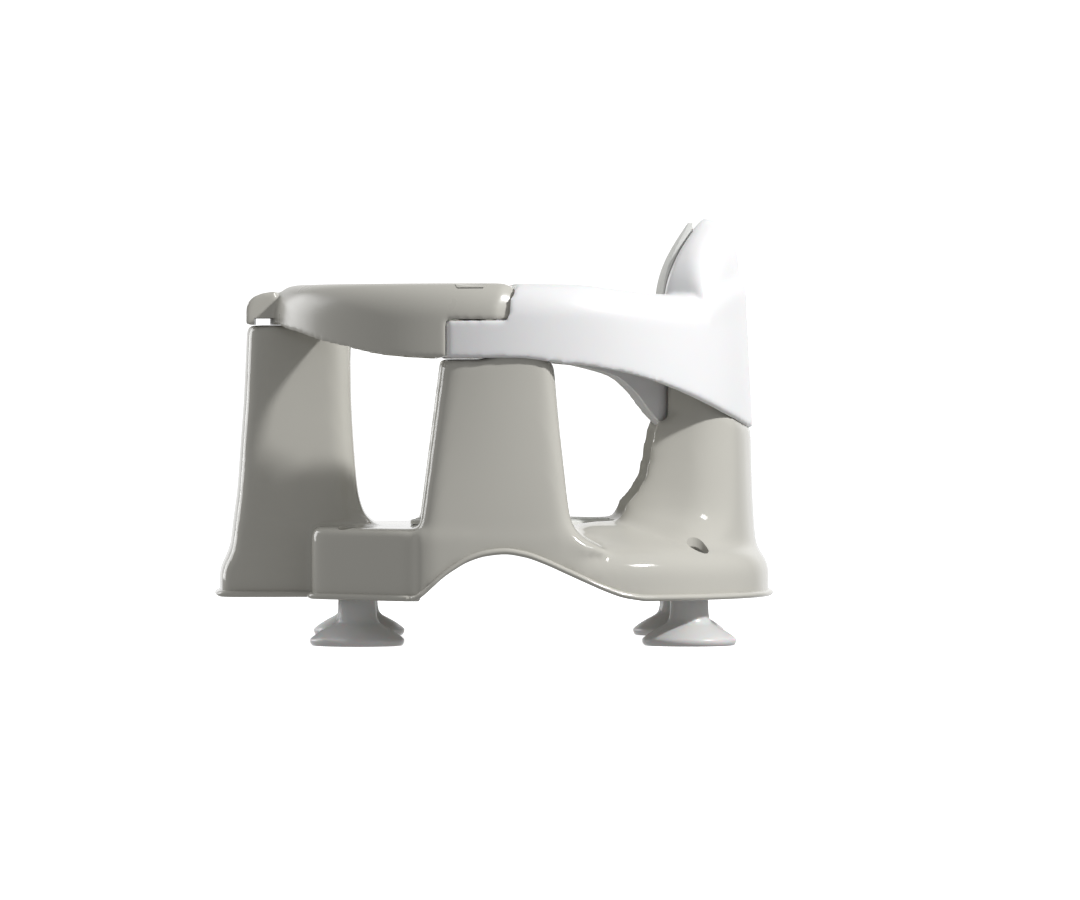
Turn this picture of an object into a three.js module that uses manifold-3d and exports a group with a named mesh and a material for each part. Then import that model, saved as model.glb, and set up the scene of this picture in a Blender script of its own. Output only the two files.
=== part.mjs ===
// Baby bath seat on four suction cups, with a swinging front gate and a push-button latch.
// Millimetres, +Z up, +X towards the backrest. The origin is on the floor under the middle.

import * as THREE from 'three';
import { mergeVertices } from 'three/addons/utils/BufferGeometryUtils.js';
import Module from 'manifold-3d';

const wasm = await Module();
wasm.setup();

// Walls and clearances
const skin = 2.8;
const gap = 0.3;
const runningGap = 0.4;
const turnDegrees = 360;
const halfTurn = 180;
const cutReach = 400;
const dropReach = 100;
const leastRound = 1;
const sharpestTurn = 0.6;
const quarterTurn = 90;

// Ring: a channel open below, bent round a vertical axis at ringX
const ringX = 12;
const ringRadius = 157;
const ringWidth = 40;
const ringFoot = 182.4;
const ringDepth = 47.2;
const ringTop = ringFoot + ringDepth;
const shoulderWidth = 17;
const shoulderDrop = 22;
const lipWidth = 8;
const lipDrop = 10;

// Rear of the ring: its wall reaches lower, its top dips and the headrest rises from it
const rearReachDown = 45;
const rearFoot = ringFoot - rearReachDown;
const rearDip = 6.8;
const rearTop = ringTop - rearDip;
const rearSetBack = 1.5;
const rearLean = 3.4;
const headrestRise = 50.5;
const headrestTop = rearTop + headrestRise;
const headrestInsetShare = 0.825;
const headrestRadius = ringRadius - ringWidth * headrestInsetShare;
const headrestDepthShare = 0.6825;
const headrestDepth = ringWidth * headrestDepthShare;
const headrestHalfDegrees = 36;
const rearFootShares = [
  [0, 1], [12, 0.955], [25, 0.82], [38, 0.609], [50, 0.413], [60, 0.253], [71, 0.127], [81.5, 0.058], [90, 0], [180, 0],
];
const rearLinerShares = [
  [0, 1], [35, 1], [43, 0.787], [49, 0.52], [57, 0.258], [63, 0.176], [76, 0.053], [90, 0], [180, 0],
];
const rearTopShares = [[0, 1], [40, 1], [50, 0.95], [62, 0.55], [75, 0.1], [100, 0], [180, 0]];
// Outline of the headrest: share of its depth behind the peak, share of its height
const headrestBackShares = [
  [1.02, -0.288], [1, 0.024], [0.94, 0.157], [0.846, 0.261], [0.806, 0.473],
  [0.747, 0.641], [0.549, 0.841], [0.256, 0.969], [0, 1],
];
const headrestFrontShares = [[-0.055, 0.978], [-0.161, 0.896], [-0.227, 0.759], [-0.256, 0.543]];

// Degrees at which the ring's section is taken, up to its middle plane
const rearAngles = [-112, -101, -89, -78, -67, -57, -47, -38, -36, -34.5, -31, -25, -17, -8, 0];
const gateSweep = [76, 86, 96, 106, 116, 125, 134, 143, 152, 162, 165, 180];

// Gate: the front of the ring, hinged on the near side, latched on the far side
const gateFootRise = 21.9;
const gateFrontFoot = ringFoot + gateFootRise;
const gateFootShares = [
  [0, 1], [15.3, 1], [18.4, 0.904], [27.2, 0.749], [34.5, 0.58], [40.5, 0.434],
  [49.4, 0.256], [55.8, 0.12], [62.7, 0.046], [73.6, 0], [180, 0],
];
const gateLinerShares = [[0, 1], [35, 1], [45, 0.8], [55, 0.5], [65, 0.2], [73, 0], [180, 0]];
const headRadius = 27.4;
const pivotInsetShare = 0.38313;
const pivotX = ringX - headRadius;
const pivotY = Math.sqrt((ringRadius - ringWidth * pivotInsetShare) ** 2 - headRadius ** 2);
const pocketGap = 0.5;
const noseRadius = 19;
const noseGap = 0.4;
const tongueHeight = 23.6;
const tongueTop = ringFoot + tongueHeight;
const headGap = 0.6;

// Hood of the gate over the crotch post
const hoodReach = 15;
const hoodLap = 4;
const hoodFront = ringX - ringRadius - hoodReach;
const hoodBack = ringX - ringRadius + hoodLap;
const hoodHalfWidth = 30;
const hoodSetDown = 4;
const hoodTop = ringTop - hoodSetDown;
const hoodRound = 12.6;
const hoodLipTop = hoodTop - hoodRound;
const hoodSlot = 4.1;
const hoodSlotTop = gateFrontFoot + hoodSlot;
const hoodLip = 5.4;
const hoodWall = 2.5;
const hoodOutlineShares = [
  [0, 0], [0.02, 0.22], [0.1, 0.49], [0.2, 0.66], [0.37, 0.8], [0.63, 0.93], [1, 1],
];

// Base moulding: foot, deck and the round plinth
const footZ = 29.3;
const deckZ = 75;
const baseWall = 3;
const beadReach = 3;
const beadHeight = 4.2;
const levelStep = 0.6;
const beadShares = [[0.6, 0], [1, 0.28], [1, 0.66], [0.6, 0.9], [0, 1]];
const plinthRearReach = 8.8;
const plinthSideReach = 3;
const plinthRear = ringRadius + plinthRearReach;
const plinthSide = ringRadius + plinthSideReach;
const plinthFrontX = -52.6;
const plinthCorner = 9;
const plinthTaper = 4;
const plinthPower = 2.3;
const plinthWallZ = 46;
const plinthCrownZ = 79;
const plinthReach = 70;
const plinthSideShare = 0.52;
const plinthCornerSteps = 2;
const plinthSideSteps = 9;
const plinthRearSteps = 5;
const hollowSideSteps = 6;
const hollowRearSteps = 4;
const blendStartX = 38;
const blendEndX = 70;
const rearCrownShares = [
  [0, 0], [0.017, 0.152], [0.057, 0.303], [0.129, 0.439], [0.229, 0.545],
  [0.371, 0.652], [0.543, 0.773], [0.743, 0.909], [1, 1],
];
const deckCrownShares = [
  [0, 0], [0, 0.31], [0, 0.62], [0, 0.84], [0.017, 0.95], [0.057, 1], [0.543, 1], [0.743, 1], [1, 1],
];

// Arches in both sides of the foot, between the cups
const archStart = -51;
const archEnd = 92.6;
const archRise = 29.8;
const archShares = [
  [0, 0], [0.042, 0.158], [0.084, 0.349], [0.129, 0.537], [0.174, 0.685], [0.216, 0.809], [0.258, 0.893],
  [0.303, 0.956], [0.39, 1], [0.477, 0.936], [0.564, 0.789], [0.651, 0.601], [0.738, 0.409], [0.826, 0.221],
  [0.912, 0.074], [1, 0],
];

// Front tray: its front wall and the flared sides
const trayFrontX = -117;
const trayFlareX = -56;
const trayInset = 12;
const trayFlareY = plinthSide - trayInset;
const trayFlareWidth = 51;
const trayHalfWidth = trayFlareY - trayFlareWidth;
const trayBackX = 0;
const trayCornerSoft = 3;
const trayEdge = 4;
const trayEdgeShare = 0.3;
const trayBendDegrees = 22.5;
const traySampleShares = [0, 0.3, 0.58, 0.62, 0.645, 0.67, 0.7, 0.76, 0.95, 1];

// Crotch post: at each share of its height, front, back and half width
const crotchGap = 0.5;
const crotchTop = gateFrontFoot - crotchGap;
const crotchDepth = 67;
const crotchFront = hoodFront;
const crotchBack = crotchFront + crotchDepth;
const crotchHalfWidth = 30;
const crotchBulge = 4;
const crotchFrontRound = 9;
const crotchBackRound = 14;
const crotchSpread = 18.8;
const crotchToe = 17.8;
const crotchFlare = 25;
// Share of the height above the foot, then the shares of toe, heel and side spread
const crotchShares = [
  [0.024, 1, 0.64, 1.32], [0.09, 0.99, 0.64, 1.3], [0.136, 0.83, 0.64, 1.22], [0.17, 0.67, 0.64, 1.06],
  [0.196, 0.6, 0.64, 0.98], [0.268, 0.52, 0.64, 0.9], [0.289, 0.49, 0.44, 0.8], [0.322, 0.45, 0.32, 0.69],
  [0.389, 0.36, 0.2, 0.53], [0.56, 0.24, 0.092, 0.32], [0.73, 0.12, 0.028, 0.16], [1, 0, 0, 0],
];
const crotchSteps = 8;

// Side posts: at each height share, how far the front and the back edge spread
const sideGap = 0.7;
const sideTop = ringFoot - sideGap;
const sideStart = 60;
const sideFrontX = -34.5;
const sideBackX = 35.8;
const sideFrontSpread = 15.5;
const sideBackSpread = 36;
const sideInset = 62;
const sideInnerY = ringRadius - sideInset;
const sideSetBack = 3.7;
const sideRadius = ringRadius - sideSetBack;
const sideRound = 9;
const sideSteps = 8;
const sideTurnStart = -0.1;
const sideDeepen = 2;
const sideShares = [
  [0, 1, 1], [0.035, 0.96, 0.8], [0.07, 0.93, 0.58], [0.115, 0.88, 0.4],
  [0.17, 0.83, 0.3], [0.42, 0.58, 0.19], [0.7, 0.3, 0.09], [1, 0, 0],
];

// Back column: at each height share, its radius and half width spread
const columnOverlap = 22.6;
const columnTop = rearFoot + columnOverlap;
const columnStart = 50;
const columnSetBack = 3.6;
const columnRadius = ringRadius - columnSetBack;
const columnWidthShare = 0.4713;
const columnHalfWidth = ringRadius * columnWidthShare;
const columnRadiusSpread = 11;
const columnSpreadShare = 0.331;
const columnWidthSpread = ringRadius * columnSpreadShare;
const columnFrontShare = 0.433;
const columnFrontX = ringX + ringRadius * columnFrontShare;
const columnRound = 22;
const columnSteps = 12;
const columnShares = [
  [0, 1, 1], [0.064, 0.7, 0.93], [0.109, 0.44, 0.72], [0.164, 0.36, 0.46], [0.228, 0.3, 0.26],
  [0.318, 0.24, 0.13], [0.454, 0.18, 0.07], [0.79, 0.08, 0.02], [1, 0.05, 0.01],
];

// Spigots of the base inside the ring's channel
const spigotRise = 17.6;
const spigotTop = ringFoot + spigotRise;
const spigotDip = 24;
const spigotGap = 1.4;
const sideSpigotGap = 2;
const sideSpigotRoom = 10;
const spigotRound = 6;
const columnSpigotHalf = columnHalfWidth + gap;
const rearNarrow = 5.2;
const rearSpigotRoundShare = 0.4;
const rearSpigotRound = ringWidth * rearSpigotRoundShare;
const roomSide = 3;

// Seat bowl: share of its radius, share of its depth
const bowlSetBack = 0.2;
const bowlRadius = ringRadius - ringWidth + bowlSetBack;
const bowlDepth = rearFoot - runningGap - deckZ;
const bowlShares = [
  [0, 0], [0.614, 0], [0.725, 0.021], [0.798, 0.056], [0.874, 0.127], [0.909, 0.221],
  [0.953, 0.376], [0.985, 0.677], [1, 1],
];

// Suction cups and the wells that hold them
const cupFrontInset = 29;
const cupFrontX = trayFrontX + cupFrontInset;
const cupRearInset = 54.8;
const cupRearX = ringX + plinthRear - cupRearInset;
const cupSideInset = 63;
const cupY = plinthSide - cupSideInset;
const cupRadius = 30;
const cupStem = 12.1;
const cupNeck = 5.9;
const cupHead = 8;
const cupHeadHeight = 8.5;
const wellOuter = 14.6;
const wellFloor = 31;
const webZ = 38;
const webThick = 3;
const wellTop = deckZ - baseWall - runningGap;
const ventRadius = 7;
const ventShiftX = 5;
const ventShiftY = 8;
// Share of the radius, share of the flared height
const cupFlareHeight = 16.8;
const cupFlareShares = [
  [0.9, 0], [0.957, 0], [1, 0.22], [0.84, 0.476], [0.647, 0.68], [0.497, 0.82], [0.433, 1],
];
const cupHollowShares = [[0, 0.6], [0.5, 0.5], [0.8, 0.2]];

// Soft mat on the seat floor and soft pad on the headrest
const matMargin = 6;
const matRadius = bowlRadius * bowlShares[1][0] - matMargin;
const matThick = 3;
const matEdge = 1.2;
const matRibRise = 1;
const matRibShares = [0.4, 0.75];
const padThick = 3.7;
const padHalfDegrees = 34.8;
const padLift = 27.6;
const padLow = rearFoot + padLift;
const padShoulder = rearTop - 2 * runningGap;
const padRise = 48.5;
const padPower = 1.8;
const padRootShare = 0.6;
const padEdge = 1.2;
const padStepShares = [-1, -0.97, -0.9, -0.78, -0.6, -0.3, 0, 0.3, 0.6, 0.78, 0.9, 0.97, 1];

// Hinge pin, bush, washer, clip and cap on the near side
const pinRadius = 4;
const pinHead = 7.5;
const pinHeadThick = 2.2;
const pinTail = 4;
const bushWall = 1.7;
const bushFlange = 8.6;
const flangeThick = 1;
const washerThick = 0.6;
const clipRadius = 8;
const clipThick = 1.6;
const bossWall = 3.4;
const bossLift = 5.6;
const bossFoot = ringFoot + bossLift;
const capRadius = 10.5;
const capThick = 3.9;
const capProud = 1;
const capDish = 1.6;
const capRim = 1.6;

// Release button, spring, collar and screw on the far side
const buttonTravel = 4;
const buttonSkirt = 5.6;
const stemRadius = 3;
const wellFloorThick = 2.4;
const buttonWellDepth = 17;
const collarRadius = 5;
const collarHeight = 3.4;
const slotGap = 1.2;
const springRadius = 5.6;
const springWire = 0.6;
const springTurns = 4;
const springSides = 8;
const wireSides = 5;
const latchScrewRadius = 1.2;
const latchHeadRadius = 2.6;
const latchHeadThick = 1.6;

// Screws
const screwEdgeShare = 0.6;
const screwCrownShare = 0.7;
const ringScrewRadius = 1.6;
const ringScrewHead = 4;
const ringScrewHeadThick = 2.6;
const ringScrewLength = 16;
const ringBossRadius = 5.5;
const ringScrewDegrees = 19.8;
const gateScrewRadius = 1.4;
const gateScrewHead = 3;
const gateScrewHeadThick = 1.5;
const gateScrewLength = 10;
const gateBossRadius = 4;
const gateScrewFrontDegrees = 145;
const gateScrewSetBack = 8;
const coverThick = 2;
const coverRecess = 3;
const coverPadDrop = 1.3;

// Materials
const material = (name, color, roughness, metalness = 0) =>
  new THREE.MeshStandardMaterial({ name, color, roughness, metalness });
const greyPlastic = material('grey_gloss_plastic', 0xb9b8b1, 0.22);
const whitePlastic = material('white_gloss_plastic', 0xf2f2f2, 0.28);
const softGrey = material('soft_grey_rubber', 0xa9a8a1, 0.7);
const softWhite = material('soft_white_rubber', 0xe4e4e2, 0.45);
const steel = material('steel', 0xb4b6b8, 0.35, 1);
const acetal = material('natural_acetal', 0xe9e6dc, 0.4);

// Solids from geometry and back
function solid(geometry) {
  const bare = geometry.clone();
  bare.deleteAttribute('normal');
  bare.deleteAttribute('uv');
  const merged = mergeVertices(bare);
  const vertProperties = Float32Array.from(merged.attributes.position.array);
  const triVerts = Uint32Array.from(merged.index.array);
  return new wasm.Manifold(new wasm.Mesh({ numProp: 3, vertProperties, triVerts }));
}

function geometryOf(body) {
  const mesh = body.getMesh();
  const geometry = new THREE.BufferGeometry();
  geometry.setAttribute('position', new THREE.BufferAttribute(mesh.vertProperties, 3));
  geometry.setIndex(new THREE.BufferAttribute(mesh.triVerts, 1));
  geometry.computeVertexNormals();
  return geometry;
}

const joined = (bodies) => bodies.reduce((sum, body) => sum.add(body));

function box(low, high) {
  const geometry = new THREE.BoxGeometry(high[0] - low[0], high[1] - low[1], high[2] - low[2]);
  geometry.translate((low[0] + high[0]) / 2, (low[1] + high[1]) / 2, (low[2] + high[2]) / 2);
  return solid(geometry);
}

function cylinder(radius, low, high, x = 0, y = 0, sides = 20) {
  const geometry = new THREE.CylinderGeometry(radius, radius, high - low, sides);
  geometry.rotateX(Math.PI / 2);
  geometry.translate(x, y, (low + high) / 2);
  return solid(geometry);
}

function turned(points, x = 0, y = 0, sides = 14) {
  const outline = points.map(([radius, z]) => new THREE.Vector2(radius, z));
  const first = outline[0];
  const last = outline[outline.length - 1];
  if (first.x > 0 || last.x > 0) {
    outline.push(first.clone());
  }
  const geometry = new THREE.LatheGeometry(outline, sides);
  geometry.rotateX(Math.PI / 2);
  geometry.translate(x, y, 0);
  return outward(geometry);
}

function signedVolume(geometry) {
  const place = geometry.attributes.position;
  const index = geometry.index;
  const a = new THREE.Vector3();
  const b = new THREE.Vector3();
  const c = new THREE.Vector3();
  let sum = 0;
  for (let i = 0; i < index.count; i += 3) {
    a.fromBufferAttribute(place, index.getX(i));
    b.fromBufferAttribute(place, index.getX(i + 1));
    c.fromBufferAttribute(place, index.getX(i + 2));
    sum += a.dot(b.cross(c));
  }
  return sum;
}

// Turns the faces outward where a shape was drawn the other way round
function outward(geometry) {
  if (signedVolume(geometry) < 0) {
    const order = geometry.index.array;
    for (let i = 0; i < order.length; i += 3) {
      [order[i + 1], order[i + 2]] = [order[i + 2], order[i + 1]];
    }
  }
  return solid(geometry);
}

// Closed body through rings with equal point counts; flats are the two end rings in their own plane
function loft(rings, flats) {
  const count = rings[0].length;
  const positions = rings.flat().flatMap((point) => point);
  const faces = [];
  for (let level = 0; level + 1 < rings.length; level += 1) {
    for (let i = 0; i < count; i += 1) {
      const next = (i + 1) % count;
      const a = level * count + i;
      const b = level * count + next;
      faces.push(a, b, b + count, a, b + count, a + count);
    }
  }
  const lastStart = (rings.length - 1) * count;
  for (const [start, flat, flip] of [[0, flats[0], true], [lastStart, flats[1], false]]) {
    const contour = flat.map(([u, v]) => new THREE.Vector2(u, v));
    const clockwise = THREE.ShapeUtils.isClockWise(contour);
    for (const [a, b, c] of THREE.ShapeUtils.triangulateShape(contour, [])) {
      const turn = flip !== clockwise;
      faces.push(start + a, start + (turn ? c : b), start + (turn ? b : c));
    }
  }
  const geometry = new THREE.BufferGeometry();
  geometry.setAttribute('position', new THREE.Float32BufferAttribute(positions, 3));
  geometry.setIndex(faces);
  return outward(geometry);
}

const stack = (rings) => loft(rings, [rings[0], rings[rings.length - 1]]);

// Value of a table of [place, share] pairs at a place
function shareAt(table, place) {
  const last = table.length - 1;
  if (place >= table[last][0]) {
    return table[last][1];
  }
  const upper = table.findIndex(([start]) => start > place);
  if (upper === 0) {
    return table[0][1];
  }
  const [x0, y0] = table[upper - 1];
  const [x1, y1] = table[upper];
  return y0 + ((y1 - y0) * (place - x0)) / (x1 - x0);
}

const mix = (from, to, share) => from + (to - from) * share;

function smoothStep(low, high, value) {
  const t = Math.min(1, Math.max(0, (value - low) / (high - low)));
  return t * t * (3 - 2 * t);
}

const radians = (degrees) => (degrees * Math.PI) / halfTurn;
const degreesFromRear = (angle) => Math.abs(((angle + halfTurn) % turnDegrees) - halfTurn);
const degreesFromFront = (angle) => halfTurn - degreesFromRear(angle);

// Ring section
function footAt(angle) {
  const rear = shareAt(rearFootShares, degreesFromRear(angle)) * (ringFoot - rearFoot);
  const front = shareAt(gateFootShares, degreesFromFront(angle)) * (gateFrontFoot - ringFoot);
  return ringFoot - rear + front;
}

function linerFootAt(angle) {
  const rear = shareAt(rearLinerShares, degreesFromRear(angle)) * (ringFoot - rearFoot);
  const front = shareAt(gateLinerShares, degreesFromFront(angle)) * (gateFrontFoot - ringFoot);
  return ringFoot - rear + front;
}

// Section from the outer foot over the top to the inner foot, as [radius, height]
function ringProfile(angle) {
  const fromRear = degreesFromRear(angle);
  const top = mix(ringTop, rearTop, shareAt(rearTopShares, fromRear));
  const rear = smoothStep(quarterTurn, 0, fromRear);
  const inner = ringRadius - ringWidth;
  const rise = Math.sqrt(Math.max(0, 1 - (fromRear / headrestHalfDegrees) ** 2));
  const footRadius = ringRadius - rearSetBack * rear;
  const wallRadius = footRadius - rearLean * rear;
  const points = [[footRadius, footAt(angle)]];
  const backSteps = headrestBackShares.length - 1;
  headrestBackShares.forEach(([depth, height], i) => {
    const turn = radians((quarterTurn * i) / backSteps);
    const plain = [
      wallRadius - shoulderWidth * (1 - Math.cos(turn)),
      top - shoulderDrop * (1 - Math.sin(turn)),
    ];
    const raised = [headrestRadius + headrestDepth * depth, rearTop + (headrestTop - rearTop) * height];
    points.push([mix(plain[0], raised[0], rise), mix(plain[1], raised[1], rise)]);
  });
  const frontSteps = headrestFrontShares.length - 1;
  headrestFrontShares.forEach(([depth, height], i) => {
    const turn = radians((quarterTurn * i) / frontSteps);
    const plain = [inner + lipWidth * (1 - Math.sin(turn)), top - lipDrop * (1 - Math.cos(turn))];
    const raised = [headrestRadius + headrestDepth * depth, rearTop + (headrestTop - rearTop) * height];
    points.push([mix(plain[0], raised[0], rise), mix(plain[1], raised[1], rise)]);
  });
  points.push([inner, linerFootAt(angle)]);
  return points;
}

// The section moved inwards by an inset, with its feet moved down along the walls by a drop
function insetProfile(points, inset, drop) {
  const last = points.length - 1;
  const leanOf = (foot, above) => ((foot[0] - above[0]) / (above[1] - foot[1])) * drop;
  return points.map(([radius, z], i) => {
    if (i === 0) {
      return [radius + leanOf(points[0], points[1]) - inset, z - drop];
    }
    if (i === last) {
      return [radius + leanOf(points[last], points[last - 1]) + inset, z - drop];
    }
    const before = new THREE.Vector2(radius - points[i - 1][0], z - points[i - 1][1]).normalize();
    const after = new THREE.Vector2(points[i + 1][0] - radius, points[i + 1][1] - z).normalize();
    const along = before.clone().add(after).normalize();
    const reach = inset / Math.max(sharpestTurn, along.dot(before));
    return [radius - along.y * reach, z + along.x * reach];
  });
}

function around(angles, sectionAt) {
  const flats = [];
  const rings = angles.map((angle) => {
    const section = sectionAt(angle);
    flats.push(section);
    const turn = radians(angle);
    return section.map(([radius, z]) => [ringX + radius * Math.cos(turn), radius * Math.sin(turn), z]);
  });
  return loft(rings, [flats[0], flats[flats.length - 1]]);
}

function ringLoft(angles, inset, drop) {
  return around(angles, (angle) => insetProfile(ringProfile(angle), inset, drop));
}

const rearSweep = [...rearAngles, ...rearAngles.slice(0, -1).reverse().map((angle) => -angle)];
const gateAngles = [...gateSweep, ...gateSweep.slice(0, -1).reverse().map((angle) => turnDegrees - angle)];

// Where the gate's round heads and the ring's tongues meet
function pivotDiscs(radius) {
  return [-1, 1].map((side) => cylinder(radius, 0, cutReach, pivotX, side * pivotY, 32));
}

function tongueRegion(radius, top) {
  const wide = cutReach;
  const inner = box([pivotX - radius, -pivotY, 0], [wide, pivotY, top]);
  const outer = box([pivotX, -wide, 0], [wide, wide, top]);
  const discs = [-1, 1].map((side) => cylinder(radius, 0, top, pivotX, side * pivotY, 24));
  return joined([inner, outer, ...discs]);
}

function rearRegion(radius) {
  const wide = cutReach;
  return box([pivotX, -wide, 0], [wide, wide, wide]).subtract(joined(pivotDiscs(radius)));
}

function headRegion(radius) {
  const wide = cutReach;
  return joined([box([-wide, -wide, 0], [pivotX, wide, wide]), ...pivotDiscs(radius)]);
}

function ringForm(inset, drop) {
  const tongues = tongueRegion(noseRadius - inset, tongueTop - inset);
  const keep = tongues.add(rearRegion(headRadius + pocketGap + inset));
  return ringLoft(rearSweep, inset, drop).intersect(keep);
}

function gateForm(inset, drop) {
  const tongues = tongueRegion(noseRadius + noseGap + inset, tongueTop + headGap + inset);
  return ringLoft(gateAngles, inset, drop).intersect(headRegion(headRadius - inset)).subtract(tongues);
}

// Section between two edges that run along s, with rounded ends; turned swaps the axes
function slab({ low, high, nearAt, farAt, nearRound, farRound, steps, swap, z }) {
  const corner = (s, round) => {
    const d = Math.min(s - low, high - s);
    return d < round ? round - Math.sqrt(Math.max(0, round * round - (round - d) ** 2)) : 0;
  };
  const places = [];
  for (let i = 0; i <= steps; i += 1) {
    places.push(mix(low, high, (1 - Math.cos((Math.PI * i) / steps)) / 2));
  }
  const near = places.map((s) => [s, nearAt(s) + corner(s, nearRound)]);
  const far = places.map((s) => [s, farAt(s) - corner(s, farRound)]).reverse();
  return [...near, ...far].map(([s, t]) => (swap ? [t, s, z] : [s, t, z]));
}

function plinthSideY(x, inset) {
  const side = plinthSide - inset;
  if (x < ringX) {
    const back = (ringX - x) / (ringX - plinthFrontX);
    return side - plinthTaper * back * back;
  }
  const along = Math.min(1, (x - ringX) / (plinthRear - inset));
  return side * (1 - along ** plinthPower) ** (1 / plinthPower);
}

function plinthRing(inset, frontInset, zAt, sideSteps = plinthSideSteps, rearSteps = plinthRearSteps) {
  const half = [];
  const frontX = plinthFrontX + frontInset;
  const round = Math.max(plinthCorner - frontInset, leastRound);
  const frontY = plinthSideY(frontX, inset);
  half.push([frontX, 0], [frontX, frontY / 2]);
  for (let i = 0; i <= plinthCornerSteps; i += 1) {
    const turn = (Math.PI / 2) * (i / plinthCornerSteps);
    half.push([frontX + round * (1 - Math.cos(turn)), frontY - round * (1 - Math.sin(turn))]);
  }
  const sideFrom = frontX + round;
  const sideTo = mix(ringX, ringX + plinthRear - inset, plinthSideShare);
  for (let i = 1; i <= sideSteps; i += 1) {
    const x = mix(sideFrom, sideTo, i / sideSteps);
    half.push([x, plinthSideY(x, inset)]);
  }
  const startTurn = Math.acos(plinthSideShare ** (plinthPower / 2));
  for (let i = 1; i <= rearSteps; i += 1) {
    const turn = startTurn * (1 - i / rearSteps);
    const x = ringX + (plinthRear - inset) * Math.cos(turn) ** (2 / plinthPower);
    half.push([x, (plinthSide - inset) * Math.sin(turn) ** (2 / plinthPower)]);
  }
  const other = half.slice(1, -1).reverse().map(([x, y]) => [x, -y]);
  return [...half, ...other].map(([x, y]) => [x, y, zAt(x)]);
}

function archZ(x) {
  const along = (x - archStart) / (archEnd - archStart);
  return along <= 0 || along >= 1 ? 0 : archRise * shareAt(archShares, along);
}

function plinthBody(inset) {
  const rings = [];
  // The hollow is stepped more coarsely, so that its corners stay off the outside's edges
  const steps = inset > 0 ? [hollowSideSteps, hollowRearSteps] : [plinthSideSteps, plinthRearSteps];
  if (inset > 0) {
    rings.push(plinthRing(inset, inset, () => 0, ...steps));
  } else {
    rings.push(plinthRing(baseWall * 2, baseWall * 2, (x) => footZ + archZ(x)));
    for (const [reach, height] of beadShares) {
      const out = -beadReach * reach;
      rings.push(plinthRing(out, out, (x) => footZ + archZ(x) + beadHeight * height));
    }
  }
  rearCrownShares.forEach(([rearInset, rearRise], i) => {
    if (inset > 0 && i % 2 === 1) {
      return;
    }
    const [deckInset, deckRise] = deckCrownShares[i];
    // Over an arch the wall starts above the bead
    const clear = (x) => (inset > 0 ? 0 : footZ + archZ(x) + beadHeight + levelStep * (i + 1));
    const rear = plinthRing(
      inset + plinthReach * rearInset,
      inset,
      (x) => Math.max(clear(x), mix(plinthWallZ, plinthCrownZ, rearRise) - inset),
      ...steps,
    );
    const deck = plinthRing(
      inset + plinthReach * deckInset,
      inset + (plinthReach * deckInset) / 2,
      (x) => Math.max(clear(x), mix(plinthWallZ, deckZ, deckRise) - inset),
      ...steps,
    );
    rings.push(rear.map((point, j) => {
      const share = smoothStep(blendStartX, blendEndX, deck[j][0]);
      return point.map((value, axis) => mix(deck[j][axis], value, share));
    }));
  });
  return stack(rings);
}

function trayBody(inset) {
  const slope = (trayFlareX - trayFrontX) / (trayFlareY - trayHalfWidth);
  const frontAt = (y, back) => {
    const past = ((Math.abs(y) - trayHalfWidth + back * Math.tan(radians(trayBendDegrees))) * slope) / trayCornerSoft;
    return trayFrontX + back + trayCornerSoft * Math.log1p(Math.exp(past));
  };
  const ring = (back, z) => {
    const places = traySampleShares.map((share) => share * (trayFlareY - back));
    const front = [...places.slice(1).reverse().map((y) => -y), ...places].map((y) => [frontAt(y, back), y, z]);
    const end = places[places.length - 1];
    return [...front, [trayBackX - back, end, z], [trayBackX - back, -end, z]];
  };
  const rings = [];
  if (inset > 0) {
    rings.push(ring(inset, 0));
  } else {
    rings.push(ring(baseWall * 2, footZ));
    beadShares.forEach(([reach, height]) => rings.push(ring(-beadReach * reach, footZ + beadHeight * height)));
  }
  rings.push(ring(inset, deckZ - inset - trayEdge));
  if (inset === 0) {
    rings.push(ring(trayEdge * trayEdgeShare, deckZ - trayEdge * trayEdgeShare));
  }
  rings.push(ring(inset + trayEdge, deckZ - inset));
  return stack(rings);
}

function crotchBody(inset) {
  const ring = (z, toe, heel, spread, out = 0) => {
    const back = inset - out;
    const half = crotchHalfWidth + crotchSpread * spread - back;
    const front = crotchFront - crotchToe * toe + back;
    return slab({
      low: -half,
      high: half,
      nearAt: (y) => front + crotchBulge * (y / half) ** 2,
      farAt: () => crotchBack + crotchFlare * heel - back,
      nearRound: Math.max(crotchFrontRound - back, leastRound),
      farRound: Math.max(crotchBackRound - back, leastRound),
      steps: crotchSteps,
      swap: true,
      z,
    });
  };
  const [, toe, heel, spread] = crotchShares[0];
  const rings = [];
  if (inset > 0) {
    rings.push(ring(0, toe, heel, spread));
  } else {
    rings.push(ring(footZ, toe, heel, spread, -baseWall * 2));
    beadShares.slice(0, -1).forEach(([reach, height]) => {
      rings.push(ring(footZ + beadHeight * height, toe, heel, spread, beadReach * reach));
    });
  }
  crotchShares.forEach(([height, toeShare, heelShare, spreadShare], i) => {
    if (inset > 0 && i % 2 === 1 && i > 1 && height < 1) {
      return;
    }
    const z = mix(footZ, crotchTop, height);
    rings.push(ring(height === 1 ? z - inset : z, toeShare, heelShare, spreadShare));
  });
  return stack(rings);
}

// Levels that a body needs: the hollow inside it makes do with every second one
function levelsFor(table, inset) {
  return inset > 0 ? table.filter((_, i) => i % 2 === 0 || i === table.length - 1) : table;
}

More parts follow.
